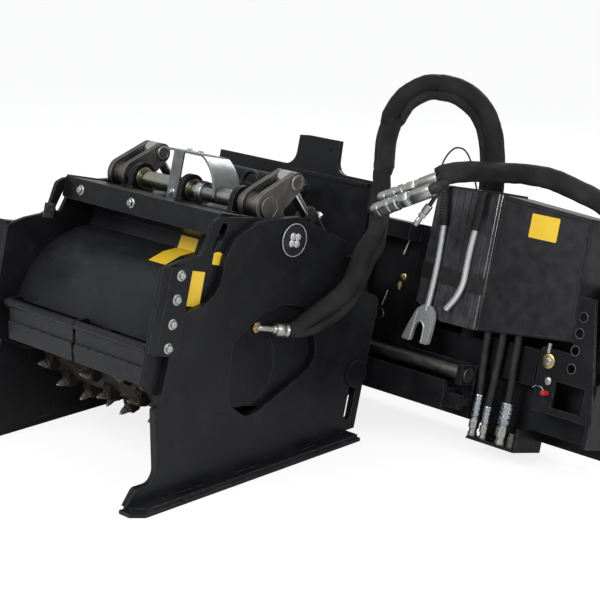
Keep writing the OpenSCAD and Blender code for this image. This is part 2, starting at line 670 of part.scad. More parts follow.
// Mounting frame, in leaned sizes
frame_v = 76;
frame_t = 12;
frame_x = [-400, 80];
frame_w = [120, 610];
rail_x = [-395, 340];
standoff = [420, 600];
standoff_x = 112;
beam_v = [130, 188];
beam_w = [130, 330];
beam_top_front = [beam_v[0], beam_w[1]];
mount_x = 165;
right_x = mount_x + mount_w * half;
left_x = mount_x - mount_w * half;
module rail() lean() color("#34363a") {
    block([rail_x[0], rail_v, rail_w - rail_head[1] * half],
        [rail_x[1], rail_v + rail_head[0], rail_w + rail_head[1] * half]);
    block([rail_x[0], rail_v + rail_head[0], rail_w - rail_web[1] * half],
        [rail_x[1], frame_v, rail_w + rail_web[1] * half]);
}
module frame() lean() color("#1a1b1e") {
    block([frame_x[0], frame_v, frame_w[0]], [frame_x[1], frame_v + frame_t, frame_w[1]]);
    block([frame_x[1] - over, frame_v, frame_w[0]], [rail_x[1], frame_v + frame_t, rod_w + barrel_r]);
    block([frame_x[0], plate_t + slide * half, frame_w[1] - 4 * lip], [frame_x[1] - 2 * lip, frame_v, frame_w[1]]);
    block([frame_x[1] - 2 * lip, bracket_v + panel_t, standoff[0]], [standoff_x, frame_v + frame_t, standoff[1]]);
    for (x = [frame_x[0], frame_x[1] - frame_t]) slab(x, frame_t)
        polygon([[frame_v + frame_t - over, beam_w[0]], [beam_v[0], beam_w[0]], beam_top_front, [beam_v[1], beam_w[1]],
            [beam_v[1], frame_w[1] - 4 * lip], [frame_v + frame_t - over, frame_w[1] - 4 * lip]]);
    for (x = [rail_x[0] - lip * half, rail_x[1] - 2 * lip]) difference() {
        block([x, rod_v - rod_r - lip * half, rod_w - barrel_r], [x + 2 * lip * 0.8, frame_v, rod_w + barrel_r]);
        translate([x - over, rod_v, rod_w]) bar_x(0, 3 * lip, rod_r + fit);
    }
}
module shift_rod() lean() translate([0, rod_v, rod_w]) color("#c8cbcd")
    bar_x(rail_x[0] - lip, rail_x[1] - rail_x[0] + lip, rod_r);
module main_beam() lean() color("#17181a") {
    difference() {
        block([left_x + lip, beam_v[0], beam_w[0]], [right_x - lip, beam_v[1], beam_w[1]]);
        block([left_x, beam_v[0] + hood_t, beam_w[0] + hood_t], [right_x, beam_v[1] - hood_t, beam_w[1] - hood_t]);
    }
    slab(right_x - lip, lip) polygon([[bracket_v + bracket_t, beam_w[0]], [plate_v, beam_w[0]],
        [plate_v, beam_w[1]], [bracket_v + bracket_t, gusset_hi]]);
}
// Loader plate with its top hook and bottom shelf
plate_v = beam_v[1];
plate_lo = 95;
// Ledge at the hook's root, and how far its slope runs
hook_root = 6;
hook_d = 22;
hook_t = 12;
shelf_d = 45;
pin_slot = [62, 24];
pin_x = 420;
module loader_plate() lean() color("#1b1c1f") {
    difference() {
        union() {
            block([left_x, plate_v, plate_lo], [right_x, plate_v + mount_t, plate_lo + mount_h]);
            translate([0, plate_v, plate_lo + mount_h - mount_t]) slab(left_x, mount_w)
                polygon([[0, 0], [mount_t + hook_root, 0], [mount_t + hook_root + hook_d, -hook_d],
                    [mount_t + hook_root + hook_d + hook_t, -hook_d], [hook_root + hook_t, mount_t], [0, mount_t]]);
            block([left_x, plate_v, plate_lo], [right_x, plate_v + shelf_d, plate_lo + mount_t]);
        }
        for (s = [-1, 1]) translate([mount_x + s * pin_x - pin_slot[0] * half,
            plate_v + mount_t + (shelf_d - mount_t - pin_slot[1]) * half, plate_lo - over])
            cube([pin_slot[0], pin_slot[1], mount_t + 2 * over]);
    }
}
// Right end bracket with its row of holes
bracket_v = 65;
bracket_t = 10;
bracket_hi = 519;
bracket_lo = 195;
bracket_x = [550, 750, 684];
gusset_hi = 300;
bracket_step = 366;
bracket_top = [635, 643];
hole_r = 12;
bracket_holes = [[658, 468], [656, 424], [653, 377], [652, 328]];
bracket_bolts = [[577, 332], [587, 280]];
window = [[612, 214], [708, 285]];
module end_bracket() lean() color("#1e1f22") difference() {
    union() {
        panel(bracket_v, bracket_t) polygon([[bracket_x[0], bracket_lo], [bracket_x[1], bracket_lo],
            [bracket_x[2], bracket_hi], [bracket_top[0], bracket_hi], [bracket_top[1], bracket_step],
            [bracket_x[0], bracket_step]]);
        block([bracket_x[0], bracket_v, bracket_lo], [bracket_x[0] + bracket_t, beam_v[0], beam_w[1]]);
        block([bracket_x[0], bracket_v, bracket_lo], [right_x - lip, beam_v[0], bracket_lo + bracket_t]);
    }
    for (p = bracket_holes) translate([p.x, 0, p.y]) bar_v(bracket_v - over, bracket_t + 2 * over, hole_r);
    block([window[0].x, bracket_v - over, window[0].y], [window[1].x, bracket_v + bracket_t + over, window[1].y]);
}
module bracket_hardware() lean() {
    color("#8d8578") translate([bracket_bolts[0].x, 0, bracket_bolts[0].y]) bar_v(bracket_v - bolt_t, bolt_t, 20);
    color("#9a9a98") translate([bracket_bolts[1].x, 0, bracket_bolts[1].y]) bar_v(bracket_v - bolt_t, bolt_t, 11);
    color("#b22a2a") translate([cap_at.x, 0, cap_at.y]) bar_v(bracket_v - 4 * bolt_t, 4 * bolt_t, 7);
}
bolt_t = 6;
cap_at = [591, 248];
// Hose tray under the beam
tray_x = [355, 520];
tray_v = [65, 188];
tray_w = 65;
tray_t = 6;
module tray() lean() color("#191a1c") {
    block([tray_x[0], tray_v[0], tray_w], [tray_x[1], tray_v[1], tray_w + tray_t]);
    block([tray_x[1] - tray_t, tray_v[0] + tray_t, tray_w], [tray_x[1], tray_v[1], beam_w[0]]);
    block([tray_x[0], beam_v[0], tray_w], [tray_x[1], beam_v[0] + tray_t, beam_w[0]]);
}
// Tool panel and the box beside it, in sizes from the panel's lower left
panel_t = 6;
panel_shares = [[89, 395, 0], [187, 358, 0], [314, 359, 0], [325, 739, 0], [93, 727, 0]] / 739;
box_shares = [[314, 359, 0], [640, 397, 0], [622, 722, 0], [325, 739, 0]] / 739;
panel_h = 739;
panel_mid = panel_h * 500 / 739;
module tool_panel() lean() color("#3a3a3f") panel(bracket_v, panel_t) polygon(outline(panel_shares, panel_h));
module tool_box() lean() color("#1e1e22") difference() {
    panel(bracket_v, box_d) polygon(outline(box_shares, panel_h));
    panel(bracket_v + panel_t, box_d) polygon([for (p = outline(box_shares, panel_h))
        [p.x + (p.x > panel_mid ? -panel_t : panel_t), p.y + (p.y > panel_mid ? -panel_t : panel_t)]]);
}
// Middle plane of the tools, and the rubber strap across them
tube_wall = 4;
tube_v = bracket_v - tool_r - tube_wall;
strap_w = panel_h * [464, 507] / 739;
strap_x = [92, 312];
strap_t2 = 4;
strap_v = tube_v - tool_r - strap_t2 - slide;
module box_strap() lean() color("#141414") difference() {
    block([strap_x[0], strap_v, strap_w[0]], [strap_x[1], bracket_v, strap_w[1]]);
    block([strap_x[0] + strap_t2, strap_v + strap_t2, strap_w[0] - over],
        [strap_x[1] - strap_t2, bracket_v + over, strap_w[1] + over]);
}
// Tubes that the tools' upper ends stand in
wrench_line = [[126, 734], [146, 624], [159, 397]];
lever_line = [[255, 740], [268, 630], [240, 499], [240, 456], [201, 394]];
function at_tool(p) = [p.x, tube_v, p.y];
module tool_tube(p, r, l) bar(at_tool(p[1]), at_tool(p[1] + unit(p[0] - p[1]) * l), r);
tube_l = 112;
module tool_tubes() lean() color("#222226") difference() {
    union() {
        tool_tube(wrench_line, tool_r + tube_wall, tube_l);
        tool_tube(lever_line, tool_r + tube_wall, tube_l);
    }
    for (p = [wrench_line, lever_line]) {
        tool_tube(p, tool_r + fit, tube_l - 2 * tube_wall);
        translate(at_tool(p[1])) sphere(tool_r * bend_share + fit);
    }
}
// A bent rod along the points p, a little thicker at its bends
bend_share = 1.04;
module rod(p) {
    for (i = [1 : len(p) - 2]) {
        bar(at_tool(p[i]), at_tool(p[i + 1]), tool_r);
        translate(at_tool(p[i])) sphere(tool_r * bend_share);
    }
    tool_tube(p, tool_r, tube_l - 3 * tube_wall);
}
// Fork wrench and bent lever bar
fork = [[150, 420], [118, 398], [86, 372], [70, 290], [84, 278], [107, 280], [118, 330], [132, 342], [150, 336],
    [158, 282], [184, 288], [190, 350], [172, 420]];
fork_t = 15;
module wrench() lean() color("#c0c2c4") {
    rod(wrench_line);
    panel(tube_v - fork_t * half, fork_t) polygon(fork);
}
module lever_bar() lean() color("#c0c2c4") rod(lever_line);
// Valve block under the box, its fittings in the tray
module valve_block() lean() color("#1a1b1d") block([340, 96, 250], [520, beam_v[0], 350]);
fitting_v = 82;
fittings = [[362, 14, 190], [400, 13, 165], [462, 18, 190]];
module valve_fittings() lean() {
    color("#b9bcc0") for (f = fittings) translate([f[0], fitting_v, tray_w + tray_t]) {
        cylinder(h = (f[2] - tray_w - tray_t) * 0.5, r = f[1] * 0.9);
        translate([0, 0, (f[2] - tray_w - tray_t) * 0.5]) cylinder(h = (f[2] - tray_w - tray_t) * 0.5, r = f[1]);
    }
    color("#55585b") translate([497, fitting_v, tray_w + tray_t]) cylinder(h = 42, r = 13);
}
// Quick couplers on the end of the lead, and the small drain coupler
coupler_r = 21;
couple_1 = [[56, -125, 663.1], [246, -125, 753]];
couple_2 = [[72, -163, 628.7], [260, -163, 719]];
drain_end = [[200, -135, 616], [238, -135, 677]];
module coupler(a, b) {
    d = (b - a);
    bar(a, a + d * 0.62, coupler_r);
    bar(a + d * 0.6, a + d * 0.74, coupler_r * 0.8);
    bar(a + d * 0.72, b, coupler_r * 0.95);
}
module couplers() lean() color("#b0b1ac") {
    coupler(couple_1[0], couple_1[1]);
    coupler(couple_2[0], couple_2[1]);
}
module small_coupler() lean() color("#85837a") {
    bar(drain_end[0], drain_end[1], coupler_r * 0.4);
    bar(drain_end[0] + (drain_end[1] - drain_end[0]) * 0.4, drain_end[1], coupler_r * 0.55);
}

// Hoses: tubes swept along points chosen by hand, in leaned sizes (x, v, w)
motor_route = [[46, -387, 277.5], [51.5, -369, 279.5], [66, -345, 298], [86, -312, 331], [100, -274, 366],
    [98, -226, 411], [84, -190, 459], [79, -172, 503], [76, -138, 560], [36, -92, 610], [5, -65, 672],
    [-16, -56, 724], [-28, -52, 768], [-34, -54, 825], [-27, -50, 883],
    [-8, -35, 945], [34, -10, 987], [70, 10, 997], [125, 35, 993], [184, 60, 958], [216, 80, 905],
    [232, 98, 830], [236, 114, 741], [236, 118, 640], [236, 136, 480], [236, 145, 325]];
lead_route = [[243, -125, 751], [254, -100, 766], [264, -30, 784], [292, 58, 797], [341, 88, 806], [421, 95, 808],
    [478, 98, 800], [546, 100, 784], [624, 104, 762], [678, 112, 722], [697, 124, 650], [700, 134, 560],
    [700, 148, 440], [700, 158, 325]];
lead_end_1 = [[257, -163, 717], [266, -146, 730], [262, -104, 752]];
lead_end_2 = [[237, -135, 675], [247, -128, 705], [256, -110, 746]];
supply_1 = [[362, 82, 180], [358, 82, 230], [352, 82, 290], [350, 82, 364]];
supply_2 = [[400, 82, 156], [401, 82, 230], [402, 82, 300], [402, 82, 370]];
supply_3 = [[462, 82, 180], [460, 82, 240], [456, 82, 300], [454, 82, 376]];

// Points of a smooth curve through a route, with n steps between neighbours
function spline(p, i, t) =
    let (a = p[max(i - 1, 0)], b = p[i], c = p[i + 1], d = p[min(i + 2, len(p) - 1)])
    0.5 * ((2 * b) + (c - a) * t + (2 * a - 5 * b + 4 * c - d) * t * t + (3 * b - a - 3 * c + d) * t * t * t);
function smooth(p, n) = concat([for (i = [0 : len(p) - 2], k = [0 : n - 1]) spline(p, i, k / n)], [p[len(p) - 1]]);
function tangent(p, i) = unit(p[min(i + 1, len(p) - 1)] - p[max(i - 1, 0)]);
// The side direction is carried along the route, so that the rings don't twist
function carry(p, i, s) = unit(s - tangent(p, i) * (s * tangent(p, i)));
function sides(p, i = 0, s = [0, 1, 0], done = []) = i == len(p) ? done
    : let (n = carry(p, i, s)) sides(p, i + 1, n, concat(done, [n]));
// A tube along the points p, its first rings narrower where thin gives the start's share of the radius
module tube(p, r, m, thin = 1) {
    n = len(p);
    s = sides(p);
    points = [for (i = [0 : n - 1], k = [0 : m - 1])
        p[i] + r * min(1, thin + i * (1 - thin) / thin_rings)
            * (s[i] * cos(360 * k / m) + cross(tangent(p, i), s[i]) * sin(360 * k / m))];
    walls = [for (i = [0 : n - 2], k = [0 : m - 1]) let (a = i * m + k, b = i * m + (k + 1) % m)
        each [[a, b + m, b], [a, a + m, b + m]]];
    ends = [for (k = [1 : m - 2]) each [[0, k, k + 1], [(n - 1) * m, (n - 1) * m + k + 1, (n - 1) * m + k]]];
    polyhedron(points, concat(walls, ends));
}
bundle_sides = 12;
supply_r = 11;
end_r = 15;
thin_rings = 8;
module motor_hose() lean() color("#161616") tube(smooth(motor_route, 2), bundle_r, bundle_sides, 0.5);
module lead_hose() lean() color("#161616") {
    tube(smooth(lead_route, 2), lead_r, bundle_sides);
    tube(smooth(lead_end_1, 2), end_r, 8);
    tube(smooth(lead_end_2, 2), end_r * half, 8);
}
module supply_hoses() lean() color("#151515") {
    for (p = [supply_1, supply_2, supply_3]) tube(smooth(p, 4), supply_r, 8);
}
// Bolts of the beam, the keepers and the guide blocks
bolt_r = 11;
beam_bolts = [-250, -30];
keeper_bolts = [40, 102, 165, 227];
keeper_bolt_v = -303;
module housing_bolts() at_drum() color("#8a8d8f") {
    for (x = beam_bolts) translate([x, 0, deck_h - 30]) bar_v(deck_front - bolt_t, bolt_t, bolt_r);
    for (s = [0, 1], w = keeper_bolts) mirror([s, 0, 0]) translate([0, keeper_bolt_v, w])
        bar_x(cap_in + cap_t, bolt_t, bolt_r);
}

side_near();
side_far();
deck();
hood();
hood_back();
rear_plate();
keepers();
guide_blocks();
bearing();
motor();
motor_fitting();
cross_shaft();
guard();
flap_rod();
flap();
drum();
pick_holders();
picks();
skid_near();
shoe_near();
skid_far();
shoe_far();
crank_near();
crank_pin_near();
crank_cap_near();
crank_far();
crank_pin_far();
crank_cap_far();
lift_rod_near();
lift_rod_far();
lift_barrel_near();
lift_barrel_far();
carriage();
slider();
shift_barrel();
tilt_pin();
tilt_barrel();
tilt_rod();
frame();
main_beam();
loader_plate();
rail();
shift_rod();
end_bracket();
tray();
tool_panel();
tool_box();
box_strap();
tool_tubes();
wrench();
lever_bar();
valve_block();
valve_fittings();
couplers();
small_coupler();
motor_hose();
lead_hose();
supply_hoses();
bracket_hardware();
housing_bolts();
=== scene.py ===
# %% [markdown]
# # A cold planer for a skid steer loader
# This lesson dresses a finished engineering model for a photograph-like render.
# The planer mills road surface: a toothed drum turns under a steel hood, and the
# loader carries the whole machine on a mounting frame. The plates, shafts and
# cylinders come from the imported model and stay exactly where they are. We give
# them their finishes, and we build what a plain solid can't show: sleeved hoses,
# cutting picks, bolts, weld beads, couplers and worn paint with painted edge
# highlights.

# %% Load the imported model
import math

import bmesh
import bpy
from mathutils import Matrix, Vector, noise


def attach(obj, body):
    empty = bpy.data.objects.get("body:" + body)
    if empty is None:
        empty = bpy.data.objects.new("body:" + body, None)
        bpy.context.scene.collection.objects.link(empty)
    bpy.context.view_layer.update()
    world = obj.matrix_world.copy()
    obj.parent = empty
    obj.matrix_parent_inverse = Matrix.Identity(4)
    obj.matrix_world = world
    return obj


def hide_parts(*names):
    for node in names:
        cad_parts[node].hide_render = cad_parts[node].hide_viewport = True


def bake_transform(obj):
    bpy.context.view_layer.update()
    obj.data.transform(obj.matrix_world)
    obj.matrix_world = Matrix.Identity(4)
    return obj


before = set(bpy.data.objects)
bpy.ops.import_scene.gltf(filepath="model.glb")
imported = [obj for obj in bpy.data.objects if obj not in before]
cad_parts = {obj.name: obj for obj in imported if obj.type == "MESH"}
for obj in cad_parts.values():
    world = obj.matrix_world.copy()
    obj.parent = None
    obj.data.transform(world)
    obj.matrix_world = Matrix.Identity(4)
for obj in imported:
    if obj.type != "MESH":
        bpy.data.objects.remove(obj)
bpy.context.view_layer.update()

# %% [markdown]
# The machine stands in the yard leaned back on its skid shoes by 15 degrees.
# Drawings are easier to read square to the machine, so we use the same two sets
# of sizes as its maker: `leaned` places, measured from the mounting plate, and
# `by_drum` places, measured from the middle of the drum. Both take millimetres
# and give metres in the model's own frame.

# %% Sizes square to the machine
lean_angle = math.radians(15)
back = Vector((0, math.cos(lean_angle), -math.sin(lean_angle)))
up = Vector((0, math.sin(lean_angle), math.cos(lean_angle)))
right = Vector((1, 0, 0))
drum_place = (-320, -500, (296 - 500 * math.sin(lean_angle)) / math.cos(lean_angle))


def leaned(x, v, w):
    return Vector((x / 1000, 0.25, 0)) + back * (v / 1000) + up * (w / 1000)


def by_drum(x, v, w):
    return leaned(drum_place[0] + x, drum_place[1] + v, drum_place[2] + w)


print("drum axis stands", round(by_drum(0, 0, 0).z * 1000), "mm over the ground")

# %% [markdown]
# ## Camera
# The photograph was taken from the front right corner with a long lens, so its
# parallel edges run together only slightly. A 108 mm lens on a 36 mm sensor,
# 4.7 m away, gives the same picture. The camera comes first.

# %% Camera
lens = bpy.data.cameras.new("studio_camera")
lens.lens = 108
lens.sensor_width = 36
lens.clip_end = 200
camera = bpy.data.objects.new("studio_camera", lens)
bpy.context.scene.collection.objects.link(camera)
camera.location = (3.3513, -3.2532, 1.8)
camera.rotation_euler = (math.radians(90 - 16.3), 0, math.radians(45.5))
bpy.context.scene.camera = camera
print("camera", [round(c, 3) for c in camera.location])

# %% [markdown]
# ## Finishes
# Every finish is a small network of nodes. Real paint isn't one colour: it is
# slightly cloudy, its surface is finely pebbled, dust settles in it, and it wears
# along edges. Its edges are also made lighter as a painted highlight. We measure
# "edge" with the Bevel node: where its rounded normal differs from the true one,
# the surface turns a corner. `Finish` collects the steps that all finishes share,
# so that each recipe stays short.

# %% A bench for mixing finishes
class Finish:
    def __init__(self, name, **fixed):
        self.material = bpy.data.materials.new(name)
        self.material.use_nodes = True
        self.tree = self.material.node_tree
        self.shader = self.tree.nodes["Principled BSDF"]
        for socket, value in fixed.items():
            self.shader.inputs[socket.replace("_", " ")].default_value = value
        self.place = self.add("ShaderNodeTexCoord").outputs["Object"]
        self.last_bump = None

    def add(self, kind, **settings):
        node = self.tree.nodes.new(kind)
        for key, value in settings.items():
            setattr(node, key, value)
        return node

    def wire(self, a, b):
        self.tree.links.new(a, b)

    def cloud(self, scale, detail=4, stretch=None):
        node = self.add("ShaderNodeTexNoise")
        node.inputs["Scale"].default_value = scale
        node.inputs["Detail"].default_value = detail
        source = self.place
        if stretch:
            mapping = self.add("ShaderNodeMapping")
            mapping.inputs["Scale"].default_value = stretch
            mapping.inputs["Rotation"].default_value = (-lean_angle, 0, 0)
            self.wire(source, mapping.inputs["Vector"])
            source = mapping.outputs["Vector"]
        self.wire(source, node.inputs["Vector"])
        return node.outputs["Fac"]

    def ramp(self, source, *stops):
        node = self.add("ShaderNodeValToRGB")
        bar = node.color_ramp
        while len(bar.elements) < len(stops):
            bar.elements.new(0.5)
        for element, (at, value) in zip(bar.elements, stops):
            element.position = at
            colour = (value,) * 3 if isinstance(value, (int, float)) else value
            element.color = (*colour, 1)
        self.wire(source, node.inputs["Fac"])
        return node.outputs["Color"]

    def blend(self, share, a, b, mode="MIX"):
        node = self.add("ShaderNodeMix", data_type="RGBA", blend_type=mode)
        for socket, value in ((0, share), (6, a), (7, b)):
            if hasattr(value, "links"):
                self.wire(value, node.inputs[socket])
            elif socket:
                node.inputs[socket].default_value = (*value, 1)
            else:
                node.inputs[socket].default_value = value
        return node.outputs[2]

    def bump(self, height, depth, strength=1.0):
        node = self.add("ShaderNodeBump")
        node.inputs["Distance"].default_value = depth
        node.inputs["Strength"].default_value = strength
        self.wire(height, node.inputs["Height"])
        if self.last_bump:
            self.wire(self.last_bump, node.inputs["Normal"])
        self.last_bump = node.outputs["Normal"]

    def soften(self, radius):
        node = self.add("ShaderNodeBevel", samples=4)
        node.inputs["Radius"].default_value = radius
        self.last_bump = node.outputs["Normal"]

    def edges(self, radius):
        """Near 1 on edges: how far the rounded normal has turned, from 4 to 30 hundredths."""
        start, end = 0.04, 0.3
        bevel = self.add("ShaderNodeBevel", samples=4)
        bevel.inputs["Radius"].default_value = radius
        geometry = self.add("ShaderNodeNewGeometry")
        dot = self.add("ShaderNodeVectorMath", operation="DOT_PRODUCT")
        self.wire(bevel.outputs["Normal"], dot.inputs[0])
        self.wire(geometry.outputs["Normal"], dot.inputs[1])
        return self.ramp(dot.outputs["Value"], (1 - end, 1.0), (1 - start, 0.0))

    def done(self, colour=None, rough=None):
        if colour is not None:
            self.wire(colour, self.shader.inputs["Base Color"])
        if rough is not None:
            self.wire(rough, self.shader.inputs["Roughness"])
        if self.last_bump:
            self.wire(self.last_bump, self.shader.inputs["Normal"])
        return self.material


def paint(name, colour, worn=(0.16, 0.16, 0.17), rough=(0.32, 0.5), dust=0.35):
    f = Finish(name, Specular_IOR_Level=0.2)
    f.soften(0.0022)
    f.bump(f.cloud(900, 2), 0.0002, 0.35)
    f.bump(f.cloud(35, 3), 0.001, 0.12)
    lighter = tuple(c * 1.6 + 0.002 for c in colour)
    base = f.blend(f.ramp(f.cloud(7, 5), (0.35, 0.0), (0.75, 1.0)), colour, lighter)
    dusty = f.ramp(f.cloud(22, 8), (0.55, 0.0), (0.8, dust * 0.25))
    base = f.blend(dusty, base, (0.2, 0.19, 0.18))
    # Edges turn lighter: partly worn paint, partly a painted edge highlight.
    patchy = f.ramp(f.cloud(60, 6), (0.42, 0.15), (0.62, 1.0))
    edge_wear_and_highlight_mask = f.blend(1.0, f.edges(0.004), patchy, "MULTIPLY")
    base = f.blend(f.ramp(edge_wear_and_highlight_mask, (0.0, 0.0), (1.0, 0.6)), base, worn)
    return f.done(base, f.ramp(f.cloud(14, 6), (0.3, rough[0]), (0.7, rough[1])))


def plated(name, colour, tint, rough=(0.22, 0.42), scale=30, metallic=1.0):
    f = Finish(name, Metallic=metallic)
    f.soften(0.0012)
    f.bump(f.cloud(420, 3), 0.0002, 0.1)
    patches = f.ramp(f.cloud(scale, 6), (0.35, 0.0), (0.7, 1.0))
    base = f.blend(patches, colour, tint)
    base = f.blend(f.ramp(f.edges(0.003), (0.0, 0.0), (1.0, 0.45)), base, (0.85, 0.85, 0.83))
    return f.done(base, f.ramp(f.cloud(scale * 3, 5), (0.3, rough[0]), (0.7, rough[1])))


print("finish bench ready")

# %% [markdown]
# The machine wears a satin black coat. Light glances off it everywhere, so small
# differences in roughness matter more than differences in colour. The bright
# parts are zinc plated, with a faint yellow and blue tint, or polished chrome.

# %% Paint and plating
coat = paint("black_coat", (0.0075, 0.0077, 0.0088), rough=(0.24, 0.4), dust=0.15)
coat_deep = paint("black_coat_deep", (0.006, 0.006, 0.007), rough=(0.26, 0.42), dust=0.12)
hood_coat = paint("hood_coat", (0.0115, 0.0118, 0.0135), rough=(0.3, 0.44), dust=0.2)
zinc = plated("zinc_plate", (0.42, 0.44, 0.45), (0.56, 0.55, 0.47))
shaft_plate = plated("shaft_plate", (0.30, 0.36, 0.38), (0.46, 0.43, 0.33), rough=(0.2, 0.34), scale=18)
dull_steel = plated("dull_steel", (0.13, 0.125, 0.115), (0.2, 0.19, 0.17), rough=(0.36, 0.55), scale=24)
chrome = plated("chrome_bar", (0.62, 0.63, 0.64), (0.72, 0.72, 0.72), rough=(0.1, 0.2), scale=9)
forged = plated("forged_nickel", (0.40, 0.40, 0.38), (0.5, 0.49, 0.46), rough=(0.3, 0.44), scale=70)
worn_ring = plated("worn_ring", (0.24, 0.235, 0.22), (0.36, 0.35, 0.32), rough=(0.26, 0.4), scale=40)
shade_zinc = plated("shade_zinc", (0.2, 0.21, 0.215), (0.3, 0.31, 0.3), rough=(0.3, 0.44), scale=22)
bright_bar = plated("bright_bar", (0.7, 0.71, 0.72), (0.77, 0.77, 0.76), rough=(0.22, 0.32), scale=12,
                    metallic=0.6)
brass = plated("brass_plug", (0.55, 0.38, 0.14), (0.62, 0.47, 0.22), rough=(0.25, 0.4), scale=60)
print("paint and plating:", len(bpy.data.materials))

# %% [markdown]
# Rubber and woven sleeve are dull, but not flat. The sleeve is a tube of black
# nylon cloth: two crossed waves make its weave, and a slow cloud makes it paler
# where it has been rubbed. Cast and cut steel under the hood is brown and rough.

# %% Cloth, rubber, castings and plastic
def woven(name, colour):
    f = Finish(name, Roughness=0.72, Specular_IOR_Level=0.3)
    for direction in ("X", "Z"):
        wave = f.add("ShaderNodeTexWave", bands_direction=direction)
        wave.inputs["Scale"].default_value = 260
        wave.inputs["Distortion"].default_value = 1.5
        f.wire(f.place, wave.inputs["Vector"])
        f.bump(wave.outputs["Fac"], 0.0006, 0.5)
    f.bump(f.cloud(26, 5), 0.004, 0.7)
    rubbed = f.ramp(f.cloud(16, 7), (0.4, colour), (0.75, tuple(c * 3.2 for c in colour)))
    return f.done(rubbed)


def rubbery(name, colour, rough=(0.45, 0.7)):
    f = Finish(name, Specular_IOR_Level=0.35)
    f.soften(0.001)
    f.bump(f.cloud(180, 4), 0.0005, 0.4)
    tone = f.ramp(f.cloud(30, 6), (0.35, colour), (0.75, tuple(c * 2.4 for c in colour)))
    return f.done(tone, f.ramp(f.cloud(40, 4), (0.3, rough[0]), (0.7, rough[1])))


def cast(name, colour, tint):
    f = Finish(name, Metallic=0.55)
    f.soften(0.002)
    f.bump(f.cloud(90, 8), 0.0025, 0.6)
    tone = f.blend(f.ramp(f.cloud(34, 8), (0.4, 0.0), (0.65, 1.0)), colour, tint)
    return f.done(tone, f.ramp(f.cloud(50, 6), (0.3, 0.55), (0.7, 0.8)))


sleeve = woven("sleeve_cloth", (0.0075, 0.0075, 0.008))
rubber = rubbery("black_rubber", (0.0085, 0.0085, 0.0088))
hose_rubber = rubbery("hose_rubber", (0.011, 0.011, 0.0115), rough=(0.35, 0.55))
cover_plastic = rubbery("cover_finish", (0.012, 0.012, 0.0135), rough=(0.3, 0.42))
panel_finish = rubbery("panel_finish", (0.034, 0.034, 0.038), rough=(0.3, 0.44))
casting = cast("drum_steel", (0.022, 0.019, 0.017), (0.05, 0.036, 0.026))
pick_steel = cast("pick_steel", (0.10, 0.085, 0.07), (0.19, 0.15, 0.11))
carbide = plated("carbide_tip", (0.3, 0.29, 0.27), (0.4, 0.38, 0.35), rough=(0.3, 0.5))
print("all finishes:", len(bpy.data.materials))

# %% [markdown]
# ## Dressing the solid pieces
# Most steel pieces of the model already have the right shape. Their finish is
# set here, by name, in one table. The few that we rebuild later are in it too, so
# that no piece is ever left without a finish.

# %% Finishes of the solid pieces
finish_of = {
    coat: "side_near side_far skid_near skid_far shoe_near shoe_far keepers carriage slider frame main_beam "
          "end_bracket tray rail deck rear_plate",
    coat_deep: "hood_back loader_plate motor bearing guide_blocks valve_block shift_barrel tilt_barrel "
               "lift_barrel_near lift_barrel_far flap_rod",
    hood_coat: "hood flap",
    shaft_plate: "cross_shaft",
    shade_zinc: "guard",
    zinc: "motor_fitting valve_fittings couplers small_coupler housing_bolts bracket_hardware",
    dull_steel: "shift_rod crank_pin_near crank_pin_far crank_near crank_far crank_cap_near "
                "crank_cap_far tilt_pin",
    chrome: "lift_rod_near lift_rod_far tilt_rod",
    bright_bar: "wrench lever_bar",
    casting: "drum pick_holders",
    pick_steel: "picks",
    rubber: "box_strap tool_tubes",
    hose_rubber: "supply_hoses",
    cover_plastic: "tool_box",
    panel_finish: "tool_panel",
    sleeve: "motor_hose lead_hose",
}
for material, names in finish_of.items():
    for name in names.split():
        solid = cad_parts[name]
        solid.data.materials.clear()
        solid.data.materials.append(material)
dressed = sum(len(names.split()) for names in finish_of.values())
print(dressed, "solid pieces dressed of", len(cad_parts))

# %% [markdown]
# ## Three ways to make a shape
# Nearly everything small on this machine is turned on a lathe, bent from tube or
# cut from plate. So we keep three makers: `turned` spins rings along a line,
# `swept` runs a ring along a smooth route, and `cut_plate` gives an outline
# thickness. All of them add to an open bmesh, so one piece can have many parts.

# %% Makers
def across(direction):
    side = direction.cross(Vector((0, 0, 1)) if abs(direction.z) < 0.9 else Vector((1, 0, 0)))
    side.normalize()
    return side, direction.cross(side).normalized()


def skin(bm, loops, closed=False):
    """Faces between neighbouring loops of points, and both end faces unless closed."""
    pairs = list(zip(loops, loops[1:])) + ([(loops[-1], loops[0])] if closed else [])
    for low, high in pairs:
        count = len(low)
        for k in range(count):
            bm.faces.new((low[k], low[(k + 1) % count], high[(k + 1) % count], high[k]))
    if not closed:
        bm.faces.new(loops[0][::-1])
        bm.faces.new(loops[-1])


def turned(bm, start, direction, rings, sides=28, twist=0.0, closed=False):
    """rings are (along, radius) in mm; a closed one is a hollow ring without end faces."""
    direction = direction.normalized()
    a, b = across(direction)
    loops = []
    for along, radius in rings:
        centre = start + direction * (along / 1000)
        loop = []
        for k in range(sides):
            t = 2 * math.pi * k / sides + twist
            loop.append(bm.verts.new(centre + (a * math.cos(t) + b * math.sin(t)) * (radius / 1000)))
        loops.append(loop)
    skin(bm, loops, closed)


def curve_through(points, steps):
    path = []
    for i in range(len(points) - 1):
        a, b = points[max(i - 1, 0)], points[i]
        c, d = points[i + 1], points[min(i + 2, len(points) - 1)]
        for k in range(steps):
            t = k / steps
            path.append(0.5 * (2 * b + (c - a) * t + (2 * a - 5 * b + 4 * c - d) * t * t
                               + (3 * b - a - 3 * c + d) * t * t * t))
    path.append(points[-1].copy())
    return path


def leaned_route(points, steps=8):
    return curve_through([leaned(*p) for p in points], steps)


